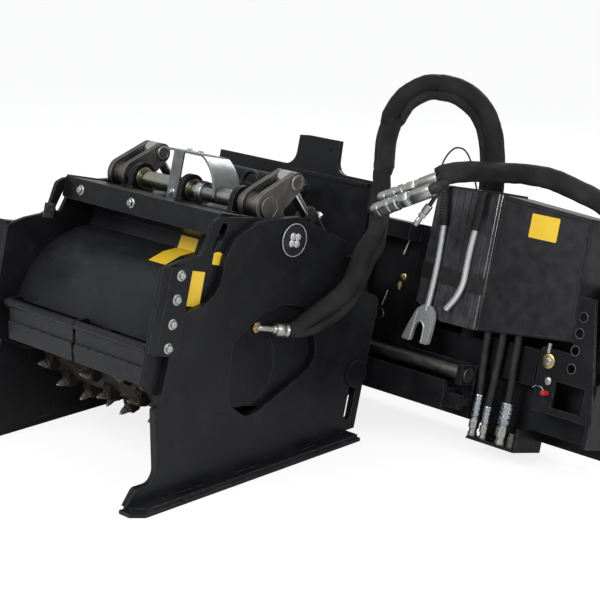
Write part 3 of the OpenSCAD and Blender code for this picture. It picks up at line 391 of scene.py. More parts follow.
def swept(bm, path, radius, sides=14):
    """radius is in mm, or a function of the ring's number and the angle round it."""
    side = Vector((0, 1, 0))
    loops = []
    for i, point in enumerate(path):
        ahead = (path[min(i + 1, len(path) - 1)] - path[max(i - 1, 0)]).normalized()
        side = (side - ahead * side.dot(ahead)).normalized()
        other = ahead.cross(side)
        loop = []
        for k in range(sides):
            t = 2 * math.pi * k / sides
            r = radius(i, t) if callable(radius) else radius
            loop.append(bm.verts.new(point + (side * math.cos(t) + other * math.sin(t)) * (r / 1000)))
        loops.append(loop)
    skin(bm, loops)


def cut_plate(bm, outline, place, low, high):
    """outline is in mm; place(a, b, depth) turns it into a point of the model."""
    bottom = [bm.verts.new(place(a, b, low)) for a, b in outline]
    top = [bm.verts.new(place(a, b, high)) for a, b in outline]
    bm.faces.new(bottom[::-1])
    bm.faces.new(top)
    count = len(outline)
    for k in range(count):
        bm.faces.new((bottom[k], bottom[(k + 1) % count], top[(k + 1) % count], top[k]))


def piece(name, bm, body, material, bevel=0.0, smooth=40):
    bmesh.ops.recalc_face_normals(bm, faces=bm.faces)
    mesh = bpy.data.meshes.new(name)
    bm.to_mesh(mesh)
    bm.free()
    obj = bpy.data.objects.new(name, mesh)
    bpy.context.scene.collection.objects.link(obj)
    mesh.materials.append(material)
    if bevel:
        soft = obj.modifiers.new("soft_edges", "BEVEL")
        soft.width = bevel / 1000
        soft.segments = 2
        soft.limit_method = "ANGLE"
        soft.angle_limit = math.radians(35)
    mesh.polygons.foreach_set("use_smooth", [True] * len(mesh.polygons))
    mesh.set_sharp_from_angle(angle=math.radians(smooth))
    if body:
        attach(obj, body)
    return obj


print("makers ready")

# %% [markdown]
# ## The sleeved hoses to the motor
# Oil reaches the drum's motor through two bundles in cloth sleeves, a thick one
# and a thin one, which lie side by side. They have one end on the housing and one
# on the mounting frame, and the carriage moves in between. So each is two pieces
# that meet at the top of the loop: the first runs from housing to carriage, the
# second from carriage to frame. A sleeve isn't a smooth pipe: the hoses inside
# press through it, and it wrinkles, so the radius changes along and around.

# %% Motor bundles
motor_route = [(46, -387, 277.5), (51.5, -369, 279.5), (66, -345, 298), (86, -312, 331), (100, -274, 366),
               (98, -226, 411), (84, -190, 459), (79, -172, 503), (76, -138, 560), (36, -92, 610),
               (5, -65, 672), (-16, -56, 724), (-28, -52, 768), (-34, -54, 825), (-27, -50, 883),
               (-8, -35, 945), (34, -10, 987), (70, 10, 997), (125, 35, 993), (184, 60, 958),
               (216, 80, 905), (232, 98, 830), (236, 114, 741), (236, 118, 640), (236, 136, 480),
               (236, 145, 325)]
steps = 8
loop_top = 17
whole_route = leaned_route(motor_route, steps)
half_way = loop_top * steps
fade = 20


def length_of(path):
    return sum((b - a).length for a, b in zip(path, path[1:]))


def beside_route(route, sideways, inwards):
    """The same route, pushed over by mm to its left and to its inner side, not at its ends."""
    moved = []
    for i, point in enumerate(route):
        ahead = (route[min(i + 1, len(route) - 1)] - route[max(i - 1, 0)]).normalized()
        side, other = across(ahead)
        share = min(1.0, i / fade, (len(route) - 1 - i) / fade)
        moved.append(point + (side * sideways + other * inwards) * (share / 1000))
    return moved


def sleeve_radius(size, seed, start_share, grow_over=30):
    """A wrinkled radius: a slow wave, a fine one and the three hoses inside."""
    def radius(i, t):
        wave = noise.noise(Vector((math.cos(t) * 1.3, math.sin(t) * 1.3, i * wave_step + seed)))
        fine = noise.noise(Vector((math.cos(t) * 3, math.sin(t) * 3, i * 0.6 + seed)))
        hoses = 0.05 * math.cos(3 * t + i * 0.035)
        grown = min(1.0, start_share + i * (1 - start_share) / grow_over)
        return size * grown * (0.93 + hoses + 0.06 * wave + 0.05 * fine)
    return radius


print("motor route:", round(length_of(whole_route), 3), "m")

# %% [markdown]
# The lower half of each bundle starts thin, where the crimped shell grips it.

# %% Motor bundles in two halves
wave_step = 0.16
for name, size, sideways, inwards in (("thick", 27, -3, -11), ("thin", 17, 5, 20)):
    route = beside_route(whole_route, sideways, inwards)
    halves = (("lower", route[:half_way + 1], "housing", "carriage", 40, half_way),
              ("upper", route[half_way:], "carriage", "mount_frame", 0, len(route) - half_way - 60))
    for part, path, body_a, body_b, first, last in halves:
        bm = bmesh.new()
        if part == "lower":
            radius = sleeve_radius(size, 1.0, 0.66)
        else:
            radius = sleeve_radius(size, 1.0 + half_way * wave_step, 1.0)
        swept(bm, path, radius, 28)
        bundle = piece("motor_%s_%s" % (name, part), bm, None, sleeve)
        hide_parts("motor_hose")
        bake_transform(bundle)
        print(bundle.name, round(length_of(path), 3), "m")

# %% [markdown]
# ## The lead to the loader
# The second bundle carries the loader's own oil. Three hoses are twisted round
# each other in a thinner sleeve, so its section has three soft lobes that turn
# slowly along its length. Its free ends are the quick couplers.

# %% Lead bundle
lead_route = [(243, -125, 751), (254, -100, 766), (264, -30, 784), (292, 58, 797), (341, 88, 806),
              (421, 95, 808), (478, 98, 800), (546, 100, 784), (624, 104, 762), (678, 112, 722),
              (697, 124, 650), (700, 134, 560), (700, 148, 440), (700, 158, 325)]
lead_path = leaned_route(lead_route)


def lead_radius(i, t):
    lobes = 0.11 * math.cos(3 * t + i * 0.11)
    wave = noise.noise(Vector((math.cos(t), math.sin(t), i * 0.3 + 7)))
    return 30 * (0.93 + lobes + 0.06 * wave)


bm = bmesh.new()
swept(bm, lead_path, lead_radius, 30)
lead = piece("lead_bundle", bm, "mount_frame", sleeve)
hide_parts("lead_hose")
print("lead bundle:", round(length_of(lead_path), 3), "m")

# %% [markdown]
# ## Quick couplers
# A quick coupler is a turned part: a knurled sliding sleeve, grooves for its
# locking ring, a hexagon for the spanner and a crimped shell on the hose. We turn
# the round parts ring by ring and spin the hexagon with six sides.

# %% Couplers on the lead
def quick_coupler(bm, start, end, r):
    line = end - start
    length = line.length * 1000

    def along(*rings, **more):
        turned(bm, start, line, [(s * length, k * r) for s, k in rings], **more)

    along((0.0, 0.72), (0.0, 0.9), (0.012, 0.98), (0.05, 1.0), (0.12, 1.0), (0.125, 0.94), (0.15, 0.94),
          (0.155, 1.0), (0.29, 1.0), (0.3, 0.9), (0.33, 0.9), (0.34, 0.99), (0.42, 0.99), (0.43, 0.86))
    along((0.43, 0.86), (0.5, 0.86), (0.505, 0.8))
    along((0.5, 0.99), (0.51, 1.06), (0.63, 1.06), (0.64, 0.99), sides=6)
    along((0.63, 0.78), (0.68, 0.78), (0.685, 0.9), (0.7, 0.94), (0.97, 0.94), (1.0, 0.86))


couple_1 = ((56, -125, 663.1), (246, -125, 753))
couple_2 = ((72, -163, 628.7), (260, -163, 719))
for number, (a, b) in enumerate((couple_1, couple_2)):
    bm = bmesh.new()
    quick_coupler(bm, leaned(*a), leaned(*b), 21)
    coupler = piece("quick_coupler_%d" % (number + 1), bm, "mount_frame", zinc, bevel=0.5)
    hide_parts("couplers")
drain = ((200, -135, 616), (238, -135, 677))
bm = bmesh.new()
low, high = leaned(*drain[0]), leaned(*drain[1])
turned(bm, low, high - low, [(0, 6.6), (2, 8.2), (22, 8.2), (24, 6.8), (30, 6.8)])
turned(bm, low, high - low, [(29, 10), (30, 11.2), (42, 11.2), (43, 10)], sides=6)
turned(bm, low, high - low, [(43, 8), (47, 11), (70, 11), (72, 9)])
drain_coupler = piece("drain_coupler", bm, "mount_frame", forged, bevel=0.4)
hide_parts("small_coupler")

# %% [markdown]
# Each coupler hangs on a short tail of hose that comes out of the sleeve and runs
# on inside it. The tails are pieces of their own.

# %% Tails of the lead
tails = (((258, -80, 772), (250, -116, 762), couple_1[1], couple_1[0], 13),
         ((262, -98, 760), (266, -146, 732), couple_2[1], couple_2[0], 13),
         ((254, -106, 748), (247, -128, 705), drain[1], drain[0], 6))
for number, (*points, size) in enumerate(tails):
    path = leaned_route(points)
    bm = bmesh.new()
    swept(bm, path, size, 14)
    tail = piece("lead_tail_%d" % (number + 1), bm, "mount_frame", hose_rubber)
print("lead and", len(tails), "tails declared")

# %% [markdown]
# ## Picks on the drum
# The drum cuts with replaceable picks. Each one is a steel body of revolution
# with a carbide tip, and it leans in a welded block. They follow the model's own
# pattern: three starts wind from each end to the middle, so that the cut material
# is swept inwards.

# %% Pick pattern
pick_count, starts, wrap = 56, 3, 170.0
drum_radius, block_width, pick_lean = 188.0, 30.0, math.radians(40)
drum_half = 305.0
pick_reach = drum_half - block_width / 2
seat = (4.0, drum_radius + 24)
seat_half = 15


def pick_places():
    for i in range(pick_count):
        side = 1 if i % 2 == 0 else -1
        k = i // 2
        share = k / math.ceil(pick_count / 2)
        angle = math.radians(side * (k % starts * 360 / starts - share * wrap))
        yield side * pick_reach * (1 - share), angle


def on_drum(x, angle, out, ahead=0.0):
    v = -math.sin(angle) * out + math.cos(angle) * ahead
    w = math.cos(angle) * out + math.sin(angle) * ahead
    return by_drum(x, v, w)


seat_out = (math.sin(pick_lean), math.cos(pick_lean))
seat_along = (math.cos(pick_lean), -math.sin(pick_lean))
print("first picks:", [(round(x), round(math.degrees(a))) for x, a in list(pick_places())[:4]])

# %% [markdown]
# A block is cut from plate, so its outline is drawn once and turned to each pick's
# place. Copies of one pick would work too, but fewer pieces are easier to handle:
# all blocks are one piece, all bodies another and all tips a third, since each of
# the three has its own steel.

# %% Picks and their blocks
shank = [(-1, 12.5), (2.5, 13), (5, 13), (6, 9.6), (9, 10.4), (13, 10), (25, 6.6), (27, 4.6)]
tip = [(26.5, 4.4), (28, 4.4), (32, 2.6), (34, 0.6)]
blocks, bodies_bm, tips = bmesh.new(), bmesh.new(), bmesh.new()
for x, angle in pick_places():

    def block_place(a, b, depth, x=x, angle=angle):
        return on_drum(x + depth, angle, b, a)

    high = [seat[k] - seat_half * seat_along[k] for k in (0, 1)]
    low = [seat[k] + seat_half * seat_along[k] for k in (0, 1)]
    cut_plate(blocks, [(-24, 184), (22, 184), (22, 194), low, high, (-24, 205)],
              block_place, -block_width / 2, block_width / 2)
    foot = on_drum(x, angle, seat[1], seat[0])
    outward = on_drum(x, angle, seat[1] + seat_out[1], seat[0] + seat_out[0]) - foot
    turned(bodies_bm, foot, outward, shank)
    turned(tips, foot, outward, tip, sides=16)
holders = piece("pick_blocks", blocks, "drum", casting, bevel=1.2)
pick_bodies = piece("pick_bodies", bodies_bm, "drum", pick_steel)
pick_tips = piece("pick_tips", tips, "drum", carbide)
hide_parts("pick_holders")
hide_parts("picks")
print("picks:", pick_count, "points:", len(pick_bodies.data.vertices))

# %% [markdown]
# ## The motor's port
# A brass-coloured nut sits on the motor, a thin steel tube bends out of it, and a
# crimped shell grips the hose. A bent tube is a ring swept along a few points,
# with rounded turns between them.

# %% Port, tube and crimp
port_v, port_w = 20, 105
bm = bmesh.new()
turned(bm, by_drum(334.2, port_v, port_w), right, [(0, 15.5), (1, 16), (10, 16), (11, 14.5)], sides=6)
turned(bm, by_drum(345, port_v, port_w), right, [(0, 12), (3, 12)])
port_nut = piece("port_nut", bm, "housing", brass, bevel=0.5)
bm = bmesh.new()
bend = ((338, 20), (347, 22), (351, 36), (355, 70), (360, 89))
swept(bm, curve_through([by_drum(x, v, port_w) for x, v in bend], 8), 8.5, 20)
grip, grip_end = by_drum(354, 66, port_w), by_drum(366, 112, port_w)
crimp = [(0, 11), (2, 12.5), (9, 12.5), (10, 17), (14, 18.6), (36, 18.6), (37, 17.8), (39, 17.8), (40, 18.6),
         (46.5, 18.6), (47.4, 17)]
turned(bm, grip, grip_end - grip, crimp, sides=36)
port_tube = piece("port_tube", bm, "housing", forged)
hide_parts("motor_fitting")
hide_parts("motor_fitting")
print("motor's port made")

# %% [markdown]
# ## Yellow films
# Bright yellow films lie on the hood, the side plate and the box. Each is a
# rounded outline a fraction of a millimetre thick, over a black one that is a
# little larger and shows as its border. The film on the hood is a band instead,
# because it follows the folds of the sheet.

# %% Yellow films and a small bare plate
film = Finish("label_yellow", Roughness=0.35)
film.bump(film.cloud(40, 3), 0.0003, 0.2)
yellow = film.done(film.ramp(film.cloud(12, 5), (0.3, (0.86, 0.56, 0.03)), (0.8, (0.93, 0.64, 0.05))))
border = rubbery("label_border", (0.006, 0.006, 0.006), rough=(0.35, 0.45))


def rounded(corners, radius):
    outline = []
    count = len(corners)
    for i, here in enumerate(corners):
        before, after = Vector(corners[i - 1]), Vector(corners[(i + 1) % count])
        here = Vector(here)
        a = here + (before - here).normalized() * radius
        b = here + (after - here).normalized() * radius
        for k in range(5):
            t = k / 4
            outline.append(tuple(a * (1 - t) ** 2 + here * (2 * t * (1 - t)) + b * t * t))
    return outline


def label(name, corners, place, body):
    middle = Vector((sum(c[0] for c in corners), sum(c[1] for c in corners))) / len(corners)
    bm = bmesh.new()
    cut_plate(bm, rounded(corners, 5), place, -0.4, 0.35)
    piece(name + "_border", bm, body, border)
    inner = [tuple(middle + (Vector(c) - middle) * 0.955) for c in corners]
    bm = bmesh.new()
    cut_plate(bm, rounded(inner, 4), place, -0.3, 0.6)
    piece(name, bm, body, yellow)


def band(bm, fold, ends, lift):
    """A thin band from one x to the other that follows the folds, lift mm above them."""
    rows = []
    for v, w in fold:
        for depth in (lift, -0.4):
            v_out, w_out = v - 0.5 * depth, w + 0.86 * depth
            rows.append([bm.verts.new(by_drum(x, v_out, w_out)) for x in ends])
    for i in range(0, len(rows) - 2, 2):
        for a, b in ((0, 2), (3, 1)):
            bm.faces.new((*rows[i + a], *reversed(rows[i + b])))
        for end in (0, 1):
            bm.faces.new((rows[i][end], rows[i + 1][end], rows[i + 3][end], rows[i + 2][end]))
    for i in (0, len(rows) - 2):
        bm.faces.new((*rows[i], *reversed(rows[i + 1])))
    bmesh.ops.recalc_face_normals(bm, faces=bm.faces)


folds = [(-46.6, 298), (-53.4, 263), (-102.8, 248.3), (-149, 221.1)]
for name, edge, lift, material in (("hood_label_border", 0, 0.4, border), ("hood_label", 3, 0.8, yellow)):
    bm = bmesh.new()
    band(bm, folds, (58 + edge, 134 - edge), lift)
    piece(name, bm, "housing", material)


def on_side(v, w, depth):
    side_face = 334
    return by_drum(side_face + depth, v, w)


def on_door(x, w, depth):
    door_front = 62.5
    return leaned(x, door_front - depth, w)


label("slot_label", [(-176, 258), (-144, 258), (-144, 290), (-160, 294), (-176, 290)], on_side, "housing")
label("side_label", [(-266, 144), (-192, 144), (-192, 240), (-266, 240)], on_side, "housing")
label("cover_label", [(430, 640), (528, 640), (528, 708), (430, 708)], on_door, "mount_frame")
bm = bmesh.new()
cut_plate(bm, rounded([(-226, 266), (-190, 266), (-190, 308), (-226, 308)], 3),
          lambda v, w, depth: by_drum(-322 + depth, v, w), -0.3, 1.0)
piece("bare_plate", bm, "housing", zinc)
print("yellow films laid")

# %% [markdown]
# ## Bolts
# Every bolt here is the same idea at another size: a flange that spreads the
# load and a hexagon with a chamfered top. One helper draws it anywhere, facing
# any way, and each group of bolts becomes one piece, because nobody moves them
# one by one.

# %% Housing bolts
def hex_bolt(bm, place, direction, radius, height, flange=1.3):
    rim = radius * flange
    flats = [(1.5, radius * 0.98), (height * 0.8, radius * 0.98), (height, radius * 0.84)]
    turned(bm, place, direction, [(-1, rim), (1.2, rim), (2.2, radius * 1.05)])
    turned(bm, place, direction, flats, sides=6, twist=0.35)
    turned(bm, place, direction, [(height * 0.7, radius * 0.7), (height + 0.3, radius * 0.66)])


skid_side = 356.0
strap_face = skid_side + 11
bm = bmesh.new()
for side in (-1, 1):
    for w in (40, 102, 165, 227):
        hex_bolt(bm, by_drum(side * strap_face, -303, w), right * side, 11, 9)
for x in (-250, -30):
    hex_bolt(bm, by_drum(x, -166, 360), -back, 11, 9)
bolts = piece("flange_bolts", bm, "housing", zinc)
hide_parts("housing_bolts")
bm = bmesh.new()
hex_bolt(bm, by_drum(-34, -25, 404), -back, 9, 8)
hex_bolt(bm, by_drum(-6, 30, 523), up, 8, 6)
hex_bolt(bm, by_drum(-52, 30, 523), up, 8, 6)
piece("guard_bolts", bm, "housing", zinc)
print("bolts on the housing:", len(bolts.data.vertices), "points")

# %% [markdown]
# ## The cross shaft
# One shaft turns both cranks. Beside each lug sits a ring with a yellow chromate
# finish, and a split clamp collar stops the shaft from wandering sideways. The
# collar's two set screws are what catches the light.

# %% Rings and collar on the shaft
shaft = (12, 422)
lugs = (-209, 0, 209)
chromate = plated("chromate_ring", (0.36, 0.33, 0.16), (0.45, 0.42, 0.26), rough=(0.24, 0.36), scale=40)
bm = bmesh.new()
for lug in lugs:
    for side in (-1, 1):
        lug_face = by_drum(lug + side * 9.2, *shaft)
        turned(bm, lug_face, right * side, [(0, 30), (3, 30), (4, 28.5), (4, 24)], sides=40)
piece("shaft_rings", bm, "housing", chromate)
bm = bmesh.new()
turned(bm, by_drum(44.5, *shaft), right, [(0, 29), (1.5, 31), (22.5, 31), (25, 29)], sides=48)
for turn in (-0.5, 0.75):
    out = (up * math.cos(turn) - back * math.sin(turn)).normalized()
    screw = by_drum(57, *shaft) + out * 0.0305
    turned(bm, screw, out, [(-2, 5.4), (1.6, 5.4), (2, 4.8)])
    turned(bm, screw, out, [(1.9, 2.6), (2.2, 2.4)], sides=6)
piece("clamp_collar", bm, "housing", zinc, bevel=0.3)
print("rings and collar on the shaft")

# %% [markdown]
# ## Crank ends
# Each crank holds the cylinder's pin between two worn rings, and a plain disc
# closes the shaft's end. Outside the skid plate sits a round cap with four bolts.
# The cap is a shallow dish, so it is turned too. Its bright rim, a thin ring that
# paints a highlight, and its bolts are a second piece.

# %% Caps and pin ends
def on_crank(reach, degrees):
    turn = math.radians(degrees)
    return shaft[0] + reach * math.cos(turn), shaft[1] + reach * math.sin(turn)


crank_outside, crank_inside = 312.2, 239.8
skid_pin = on_crank(100, -47)
lift_pin = on_crank(115.4, 40.7)
cap_paint = paint("cap_paint", (0.016, 0.0162, 0.018), worn=(0.4, 0.4, 0.4), rough=(0.18, 0.3), dust=0.15)
for name, side in (("near", 1), ("far", -1)):
    bm = bmesh.new()
    seat_of_cap = by_drum(side * (skid_side + 1), *skid_pin)
    dish = [(0, 44), (0.5, 45), (4, 45), (5, 43.5), (5, 34), (6.2, 31), (6.2, 1)]
    turned(bm, seat_of_cap, right * side, dish, sides=56)
    cap = piece("dish_cap_" + name, bm, "crank_" + name, cap_paint, smooth=25)
    bm = bmesh.new()
    for quarter in range(4):
        turn = math.radians(45 + 90 * quarter)
        at = (skid_pin[0] + 13 * math.cos(turn), skid_pin[1] + 13 * math.sin(turn))
        hex_bolt(bm, by_drum(side * (skid_side + 6.5), *at), right * side, 7.8, 6)
    # A thin bright ring round the cap's rim paints its highlight.
    rim = [(3.8, 45.3), (5.5, 44.8), (5.5, 42.9), (3.8, 42.6)]
    turned(bm, seat_of_cap, right * side, rim, sides=56, closed=True)
    piece("cap_bolts_" + name, bm, "crank_" + name, bright_bar)
    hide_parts("crank_cap_" + name)
    bm = bmesh.new()
    ring = [(0, 22), (3, 22), (3.8, 21), (3.8, 15.5), (0, 15)]
    for x, out in ((crank_outside, 1), (crank_inside, -1)):
        turned(bm, by_drum(side * x, *lift_pin), right * side * out, ring, sides=40, closed=True)
    piece("pin_rings_" + name, bm, "crank_" + name, worn_ring)
    bm = bmesh.new()
    disc = [(0, 31), (5, 31), (6.5, 29.5), (6.5, 26.5), (5.6, 25.5), (5.6, 1)]
    turned(bm, by_drum(side * crank_outside, *shaft), right * side, disc, sides=48)
    piece("shaft_end_" + name, bm, "crank_" + name, dull_steel, smooth=25)
print("crank ends dressed")

# %% [markdown]
# ## Lift cylinders
# A hydraulic cylinder is closed by a gland, a threaded ring with spanner slots
# round the rod. Oil enters through ports near both ends. These small parts tell
# the eye that the tube is a cylinder and not just a pipe.

# %% Glands and ports
anchor = (340, 280)
span = math.hypot(anchor[0] - lift_pin[0], anchor[1] - lift_pin[1])
slope = ((anchor[0] - lift_pin[0]) / span, (anchor[1] - lift_pin[1]) / span)


def along_lift(side, distance, out=0.0, x=276.0):
    v = anchor[0] - slope[0] * distance + slope[1] * out
    w = anchor[1] - slope[1] * distance - slope[0] * out
    return by_drum(side * x, v, w)


lobe_radius, shaft_radius, stroke = 28, 23.5, 137
barrel_end = span - lobe_radius - shaft_radius - stroke / 2
gland = [(0, 30), (1, 31.2), (14, 31.2), (15, 30.4), (24, 30.4), (26.3, 27), (26.3, 16)]
for name, side in (("near", 1), ("far", -1)):
    line = along_lift(side, 1) - along_lift(side, 0)
    bm = bmesh.new()
    turned(bm, along_lift(side, barrel_end - 26), line, gland, sides=40)
    turned(bm, along_lift(side, 60), line, [(0, 30), (1, 31), (9, 31), (10, 30)], sides=40)
    piece("glands_" + name, bm, "lift_barrel_" + name, coat_deep)
    bm = bmesh.new()
    for distance in (48, barrel_end - 42):
        foot = along_lift(side, distance, -27)
        out = along_lift(side, distance, -60) - foot
        turned(bm, foot, out, [(0, 12), (9, 12), (10, 10)])
        turned(bm, foot, out, [(9.5, 10.5), (17, 10.5)], sides=6)
    piece("ports_" + name, bm, "lift_barrel_" + name, zinc, bevel=0.4)
print("cylinders have glands and ports")

# %% [markdown]
# ## Weld beads
# Plates like these are joined by welding, and the bead is always there in a
# corner, lighter than its paint because it is rippled. A bead is a thin tube that
# sits half in the metal. Its radius swells and shrinks in short steps, which
# gives the row of scales that a welder leaves.

# %% Weld beads
def bead(bm, a, b, radius=4.0, seed=0):
    count = max(6, int((b - a).length / 0.005))
    path = [a.lerp(b, i / count) for i in range(count + 1)]

    def rippled(i, t):
        scale = abs(math.sin(i * 1.25 + seed))
        rough = noise.noise(Vector((i * 0.7, seed, t)))
        return radius * (0.86 + 0.14 * scale + 0.1 * rough)

    swept(bm, path, rippled, 10)


deck_top, foot_half, lug_half = 391, 42, 9
bm = bmesh.new()
for side in (-1, 1):
    bead(bm, by_drum(side * 321, -167, 333), by_drum(side * 321, -167, 388), 3.5, side)
    bead(bm, by_drum(side * 321, -164, deck_top), by_drum(side * 321, -44, deck_top), 3.5, side)
    bead(bm, by_drum(side * 231, -40, deck_top), by_drum(side * 231, 148, deck_top), 3.5, side)
for lug in lugs:
    for face in (-lug_half, lug_half):
        a = by_drum(lug + face, shaft[0] - foot_half, deck_top)
        b = by_drum(lug + face, shaft[0] + foot_half, deck_top)
        bead(bm, a, b, 4, lug + face)
    for end in (-foot_half, foot_half):
        a = by_drum(lug - lug_half, shaft[0] + end, deck_top)
        b = by_drum(lug + lug_half, shaft[0] + end, deck_top)
        bead(bm, a, b, 4, lug + end)
piece("housing_beads", bm, "housing", coat, smooth=60)
bm = bmesh.new()
frame_seams = (((550, 65, 250), (550, 65, 360)), ((560, 75, 206), (720, 75, 206)),
               ((361, 66, 71), (514, 66, 71)), ((340, 129, 249), (520, 129, 249)),
               ((112, 71, 425), (112, 71, 595)), ((725, 76, 206), (725, 76, 298)),
               ((-390, 75, 562), (50, 75, 562)))
for a, b in frame_seams:
    bead(bm, leaned(*a), leaned(*b), 3.5, a[0])
piece("frame_beads", bm, "mount_frame", coat, smooth=60)
bm = bmesh.new()
bead(bm, leaned(-748, 17, 212), leaned(-102, 17, 212), 4, 3)
bead(bm, leaned(-745, -1, 212), leaned(-105, -1, 212), 3.5, 5)
piece("carriage_beads", bm, "carriage", coat, smooth=60)
print("beads laid")

# %% [markdown]
# ## Tool panel, box and tools
# The loader's driver changes worn picks with a fork and a bar, which live in two
# rubber tubes. The panel behind them is pressed with upright ridges. The box
# beside it has a rolled edge round its door and a shelf over the panel.

# %% Panel ridges, shelf and box door
def on_panel(x, w, depth):
    panel_front = 65.5
    return leaned(x, panel_front - depth, w)


ridge_pitch, ridge_width = 25.5, 9
bm = bmesh.new()
for k in range(9):
    x = 104 + k * ridge_pitch
    low = 405 - 0.39 * (x - 89) if x < 187 else 366
    top = 722 + (x - 93) * 0.05
    ridge = [(x, low), (x + ridge_width, low), (x + ridge_width, top), (x, top)]
    cut_plate(bm, ridge, on_panel, 0, 3.5)
piece("panel_ridges", bm, "mount_frame", panel_finish, bevel=1.2)
# Two thin zinc strips down the panel's right edge paint its edge highlights.
bm = bmesh.new()
for x in (310, 321):
    cut_plate(bm, [(x, 362), (x + 2.4, 362), (x + 2.4, 739), (x, 739)], on_panel, 0, 5)
piece("panel_edge_highlights", bm, "mount_frame", zinc, bevel=0.8)
shelf_tone = rubbery("shelf_tone", (0.02, 0.0165, 0.0145), rough=(0.4, 0.5))
bm = bmesh.new()
shelf = [(94, 727), (325, 739), (325, 745), (94, 733)]
cut_plate(bm, shelf, lambda x, w, depth: leaned(x, 62 + depth, w), 0, 110)
piece("panel_shelf", bm, "mount_frame", shelf_tone, bevel=1)
door = [(322, 366), (632, 402), (615, 714), (332, 730)]
bm = bmesh.new()
cut_plate(bm, door, on_panel, 0, 3)
piece("box_door", bm, "mount_frame", cover_plastic, bevel=1.5)
bm = bmesh.new()
rim = [leaned(x, 63.5, w) for x, w in door]
for a, b in zip(rim, rim[1:] + rim[:1]):
    swept(bm, [a, b], 3.2, 12)
piece("door_rim", bm, "mount_frame", cover_plastic)
print("panel, shelf and door")

# %% [markdown]
# The frame's dark face holds a few small things that catch the light: an open
# ring, two thin rods and a brass tee. The ring and the rods are bright zinc that
# paints highlights, the rim of a round boss and light lines along slots. They
# could have threads and flats, but from here they are a few dots of light, and a
# few turned rings are enough.

# %% Highlight ring and rods, and a brass tee, low on the frame
bm = bmesh.new()
# The ring and the rods are bright zinc that paints highlights: a boss's rim and lines along slots.
turned(bm, leaned(-45.5, 75, 332.6), -back, [(0, 17.5), (4, 17), (4, 13), (0, 12.5)], sides=32, closed=True)
highlight_rods = (((20, 75, 584), (10, 60, 500), 70, 2.4), ((-32, 75, 403), (-44, 66, 330), 46, 2))
for top, foot, length, radius in highlight_rods:
    turned(bm, leaned(*top), leaned(*foot) - leaned(*top), [(0, radius), (length, radius)], sides=10)
piece("frame_highlight_ring_and_rods", bm, "mount_frame", zinc)
bm = bmesh.new()
turned(bm, leaned(19.9, 76, 452), -back, [(0, 11), (5, 11), (6, 8), (12, 8), (13, 4)], sides=6)
turned(bm, leaned(16, 68, 438), -up, [(0, 5), (6, 5), (6, 7.5), (15, 7.5), (15, 4.5), (24, 4)], sides=8)
piece("brass_tee", bm, "mount_frame", brass)
print("frame fittings set")

# %% [markdown]
# A bent wire stands over the tool panel. It could be a curve with a round bevel,
# but a swept ring is what all tubes here are made of. The wire lies in one plane,
# far enough back for the carriage to pass it when it shifts sideways.

# %% Wire arch over the tools
arch_v = 34
arch = ((103, 736), (116, 800), (138, 833), (160, 842), (186, 836), (214, 806), (250, 739))
bm = bmesh.new()
swept(bm, leaned_route([(x, arch_v, w) for x, w in arch]), 2.6, 10)
piece("wire_arch", bm, "mount_frame", hose_rubber)
print("wire arch bent")

# %% [markdown]
# Each tool stands in a moulded rubber tube with eleven soft ribs. Bump alone would
# leave its outline straight, so the ribs are real: one list of rings holds the
# whole outline, and a small loop writes the ribs into it.

# %% Tool tubes with ribbed grips
tool_v = 51.5
rib_count, rib_pitch = 11, 8.6
grip_lines = [((145, 622), (127, 734)), ((258, 628), (262, 739))]
bm = bmesh.new()
for low, high in grip_lines:
    a, b = leaned(low[0], tool_v, low[1]), leaned(high[0], tool_v, high[1])
    rings = [(0, 10), (0.2, 12.5), (3, 13.3)]
    for k in range(rib_count):
        at = k * rib_pitch
        rings += [(5 + at, 13.5), (8 + at, 13.5), (9.5 + at, 12.3), (11.5 + at, 12.3)]
    rings += [(103, 13.5), (108, 13.4), (110.5, 11.5), (111.8, 7), (112, 0.5)]
    turned(bm, a, b - a, rings, sides=32)
grips = piece("tool_grips", bm, "mount_frame", rubber)
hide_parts("tool_tubes")
print("grips:", len(grips.data.vertices), "points")

# %% [markdown]
# The fork wrench is flame cut from flat bar and its handle is welded on. A thin
# rib follows the jaw, and both tines are a little thicker. The bent bar is one
# swept tube. A rubber strap runs behind them, and its right end lies double.

# %% Fork wrench, bent bar and strap
def on_tools(x, w, depth):
    return leaned(x, tool_v - depth, w)


head = [(130, 391), (113, 379), (100, 351), (88, 322), (77, 290), (80, 285), (103, 284), (108, 288), (112, 318),
        (116, 333), (124, 341), (135, 343), (144, 337), (148, 324), (147, 291), (151, 285), (169, 285),
        (174, 290), (177, 322), (179, 351), (175, 379), (160, 393), (140, 396)]
bm = bmesh.new()
cut_plate(bm, head, on_tools, -6, 6)
right_tine = head[14:21] + [(152, 372), (152, 330)]
left_tine = [(116, 372), (104, 346), (93, 318), (84, 290), (103, 288), (108, 320), (112, 340)]
for tine in (right_tine, left_tine):
    cut_plate(bm, tine, on_tools, 5.5, 7.2)
handle = [(143, 378), (147, 431), (150, 522), (145, 625), (143, 640)]
swept(bm, leaned_route([(x, tool_v, w) for x, w in handle]), 8.2, 24)
jaw = [(106, 286), (110, 318), (115, 335), (124, 343.5), (135, 345.5), (145, 339), (150, 325), (149, 286)]
swept(bm, leaned_route([(x, tool_v - 6, w) for x, w in jaw], 5), 2.2, 8)
wrench = piece("fork_wrench", bm, "mount_frame", bright_bar, bevel=1.2)
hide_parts("wrench")
bm = bmesh.new()
bent = [(260, 640), (256, 600), (254, 540), (254, 488), (247, 455), (232, 425), (211, 396)]
swept(bm, leaned_route([(x, tool_v, w) for x, w in bent]), 8.6, 24)
bar = piece("bent_bar", bm, "mount_frame", bright_bar, bevel=0.8)
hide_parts("lever_bar")
bm = bmesh.new()
for low, high, left in ((58.5, 61.5, 90), (56.5, 59, 280)):
    cut_plate(bm, [(left, 512), (322, 500), (322, 457), (left, 469)],
              lambda x, w, depth: leaned(x, depth, w), low, high)
